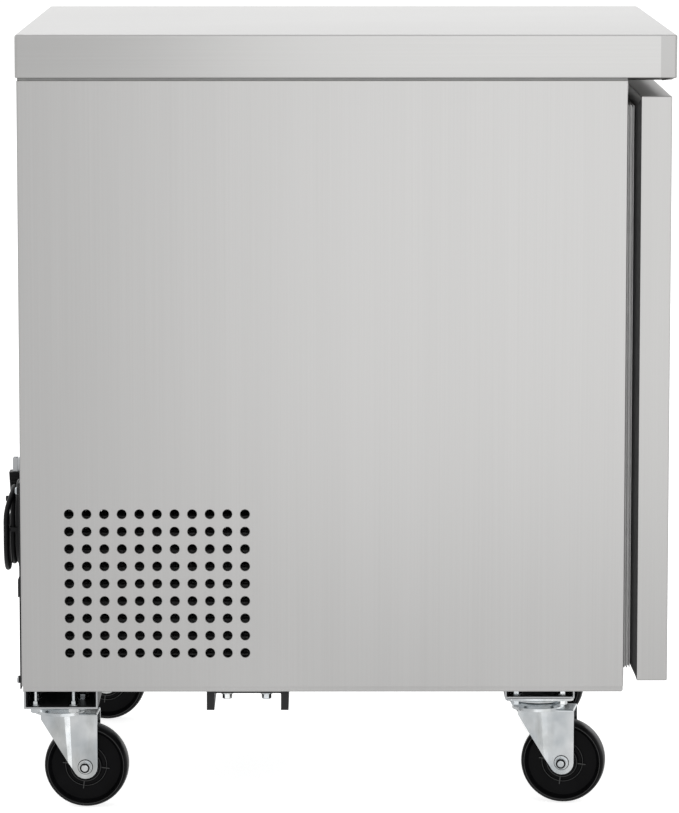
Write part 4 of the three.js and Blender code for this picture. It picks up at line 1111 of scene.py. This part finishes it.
guard = bmesh.new()
GUARD_Y = fan_low.y - 2.2
GUARD_WIRE, GUARD_REACH = 1.2, 77
for ring in range(6):
    radius = 14 + ring * 11.6
    turns = [k * math.pi / 4 for k in range(9)]
    profile = [(radius + GUARD_WIRE * math.cos(t), GUARD_WIRE * math.sin(t)) for t in turns]
    turned(guard, profile, "y", (FAN_X, GUARD_Y, FAN_Z), 48)
for arm in range(4):
    angle = math.pi / 4 + arm * math.pi / 2
    across, up = math.cos(angle), math.sin(angle)
    reach = (12, GUARD_REACH)
    wire(guard, [(FAN_X + r * across, GUARD_Y - 1.6, FAN_Z + r * up) for r in reach], 1.3)
    foot = (FAN_X + GUARD_REACH * across, fan_low.y, FAN_Z + GUARD_REACH * up)
    pan_head(guard, foot, "y", 4, -2.4)
made("evaporator_fan_guard", guard, zinc, "zinc")
knob_low, knob_high = corners("thermostat_knob")
knob_x, knob_z = (knob_low.x + knob_high.x) / 2, (knob_low.z + knob_high.z) / 2
knob = bmesh.new()
face, back = knob_low.y + 4, knob_high.y
skirt = [(0, back), (19, back), (19, back - 3), (17.6, back - 4.2)]
skirt += [(15.6, face + 1.4), (14.2, face), (0, face)]
turned(knob, skirt, "y", (knob_x, 0, knob_z), 48)
for flute in range(24):
    angle = math.pi * flute / 12
    x, z = knob_x + 16.6 * math.cos(angle), knob_z + 16.6 * math.sin(angle)
    wire(knob, [(x, back - 4.4, z), (x, face + 1.6, z)], 1.1, 6)
blocked(knob, (knob_x - 2.6, knob_low.y, knob_z - 15), (knob_x + 2.6, face + 1, knob_z + 15))
made(
    "thermostat_dial", knob, black_moulding, "black_plastic", "thermostat_knob", ["thermostat_knob"],
    edge=0.5,
)
marks = bmesh.new()
MARKS_FROM = 22
for mark in range(11):
    angle = math.radians(225 - 27 * mark)
    length = 6 if mark % 5 == 0 else 3.5
    across, up = math.cos(angle), math.sin(angle)
    reach = (MARKS_FROM, MARKS_FROM + length)
    wire(marks, [(knob_x + r * across, fan_low.y - 0.1, knob_z + r * up) for r in reach], 0.45, 6)
made("thermostat_scale", marks, black_moulding, "black_plastic")

# ---- Racks and wire shelf ----
# Slotted stainless strips stand against the liner and hold the shelf. The shelf is welded from
# round plated wire, with a ball at each corner of its rim to close the joint.
rack_steel = finish("stainless_rack", brushed_paint((1, 1, 0), (0, 0, 1), 600), Metallic=1.0)
for side in ("left", "right"):
    softened(f"{side}_shelf_rack", f"{side}_rack", rack_steel, edge=0.5)
shelf_low, shelf_high = corners("wire_shelf")
shelf = bmesh.new()
FRAME_WIRE = 2.5
frame_z, wire_z = shelf_low.z + FRAME_WIRE, shelf_low.z + 6
left, right = shelf_low.x + FRAME_WIRE, shelf_high.x - FRAME_WIRE
near, far = shelf_low.y + FRAME_WIRE, shelf_high.y - FRAME_WIRE
rim = [(x, y, frame_z) for x, y in ((left, near), (right, near), (right, far), (left, far))]
wire(shelf, rim, FRAME_WIRE, 12, closed=True)
for corner in rim:
    ball = Matrix.Translation(corner)
    bmesh.ops.create_uvsphere(shelf, u_segments=12, v_segments=8, radius=FRAME_WIRE, matrix=ball)
for third in (1, 2):
    y = shelf_low.y + third * (shelf_high.y - shelf_low.y) / 3
    wire(shelf, [(left, y, frame_z), (right, y, frame_z)], FRAME_WIRE, 12)
LONG_WIRES, LONG_WIRE = 22, 1.5
for run in range(LONG_WIRES):
    x = left + (run + 1) * (right - left) / (LONG_WIRES + 1)
    wire(shelf, [(x, near - 1, wire_z), (x, far + 1, wire_z)], LONG_WIRE, 10)
made("welded_wire_shelf", shelf, plated, "stainless", instead=["wire_shelf"], sharp=50)
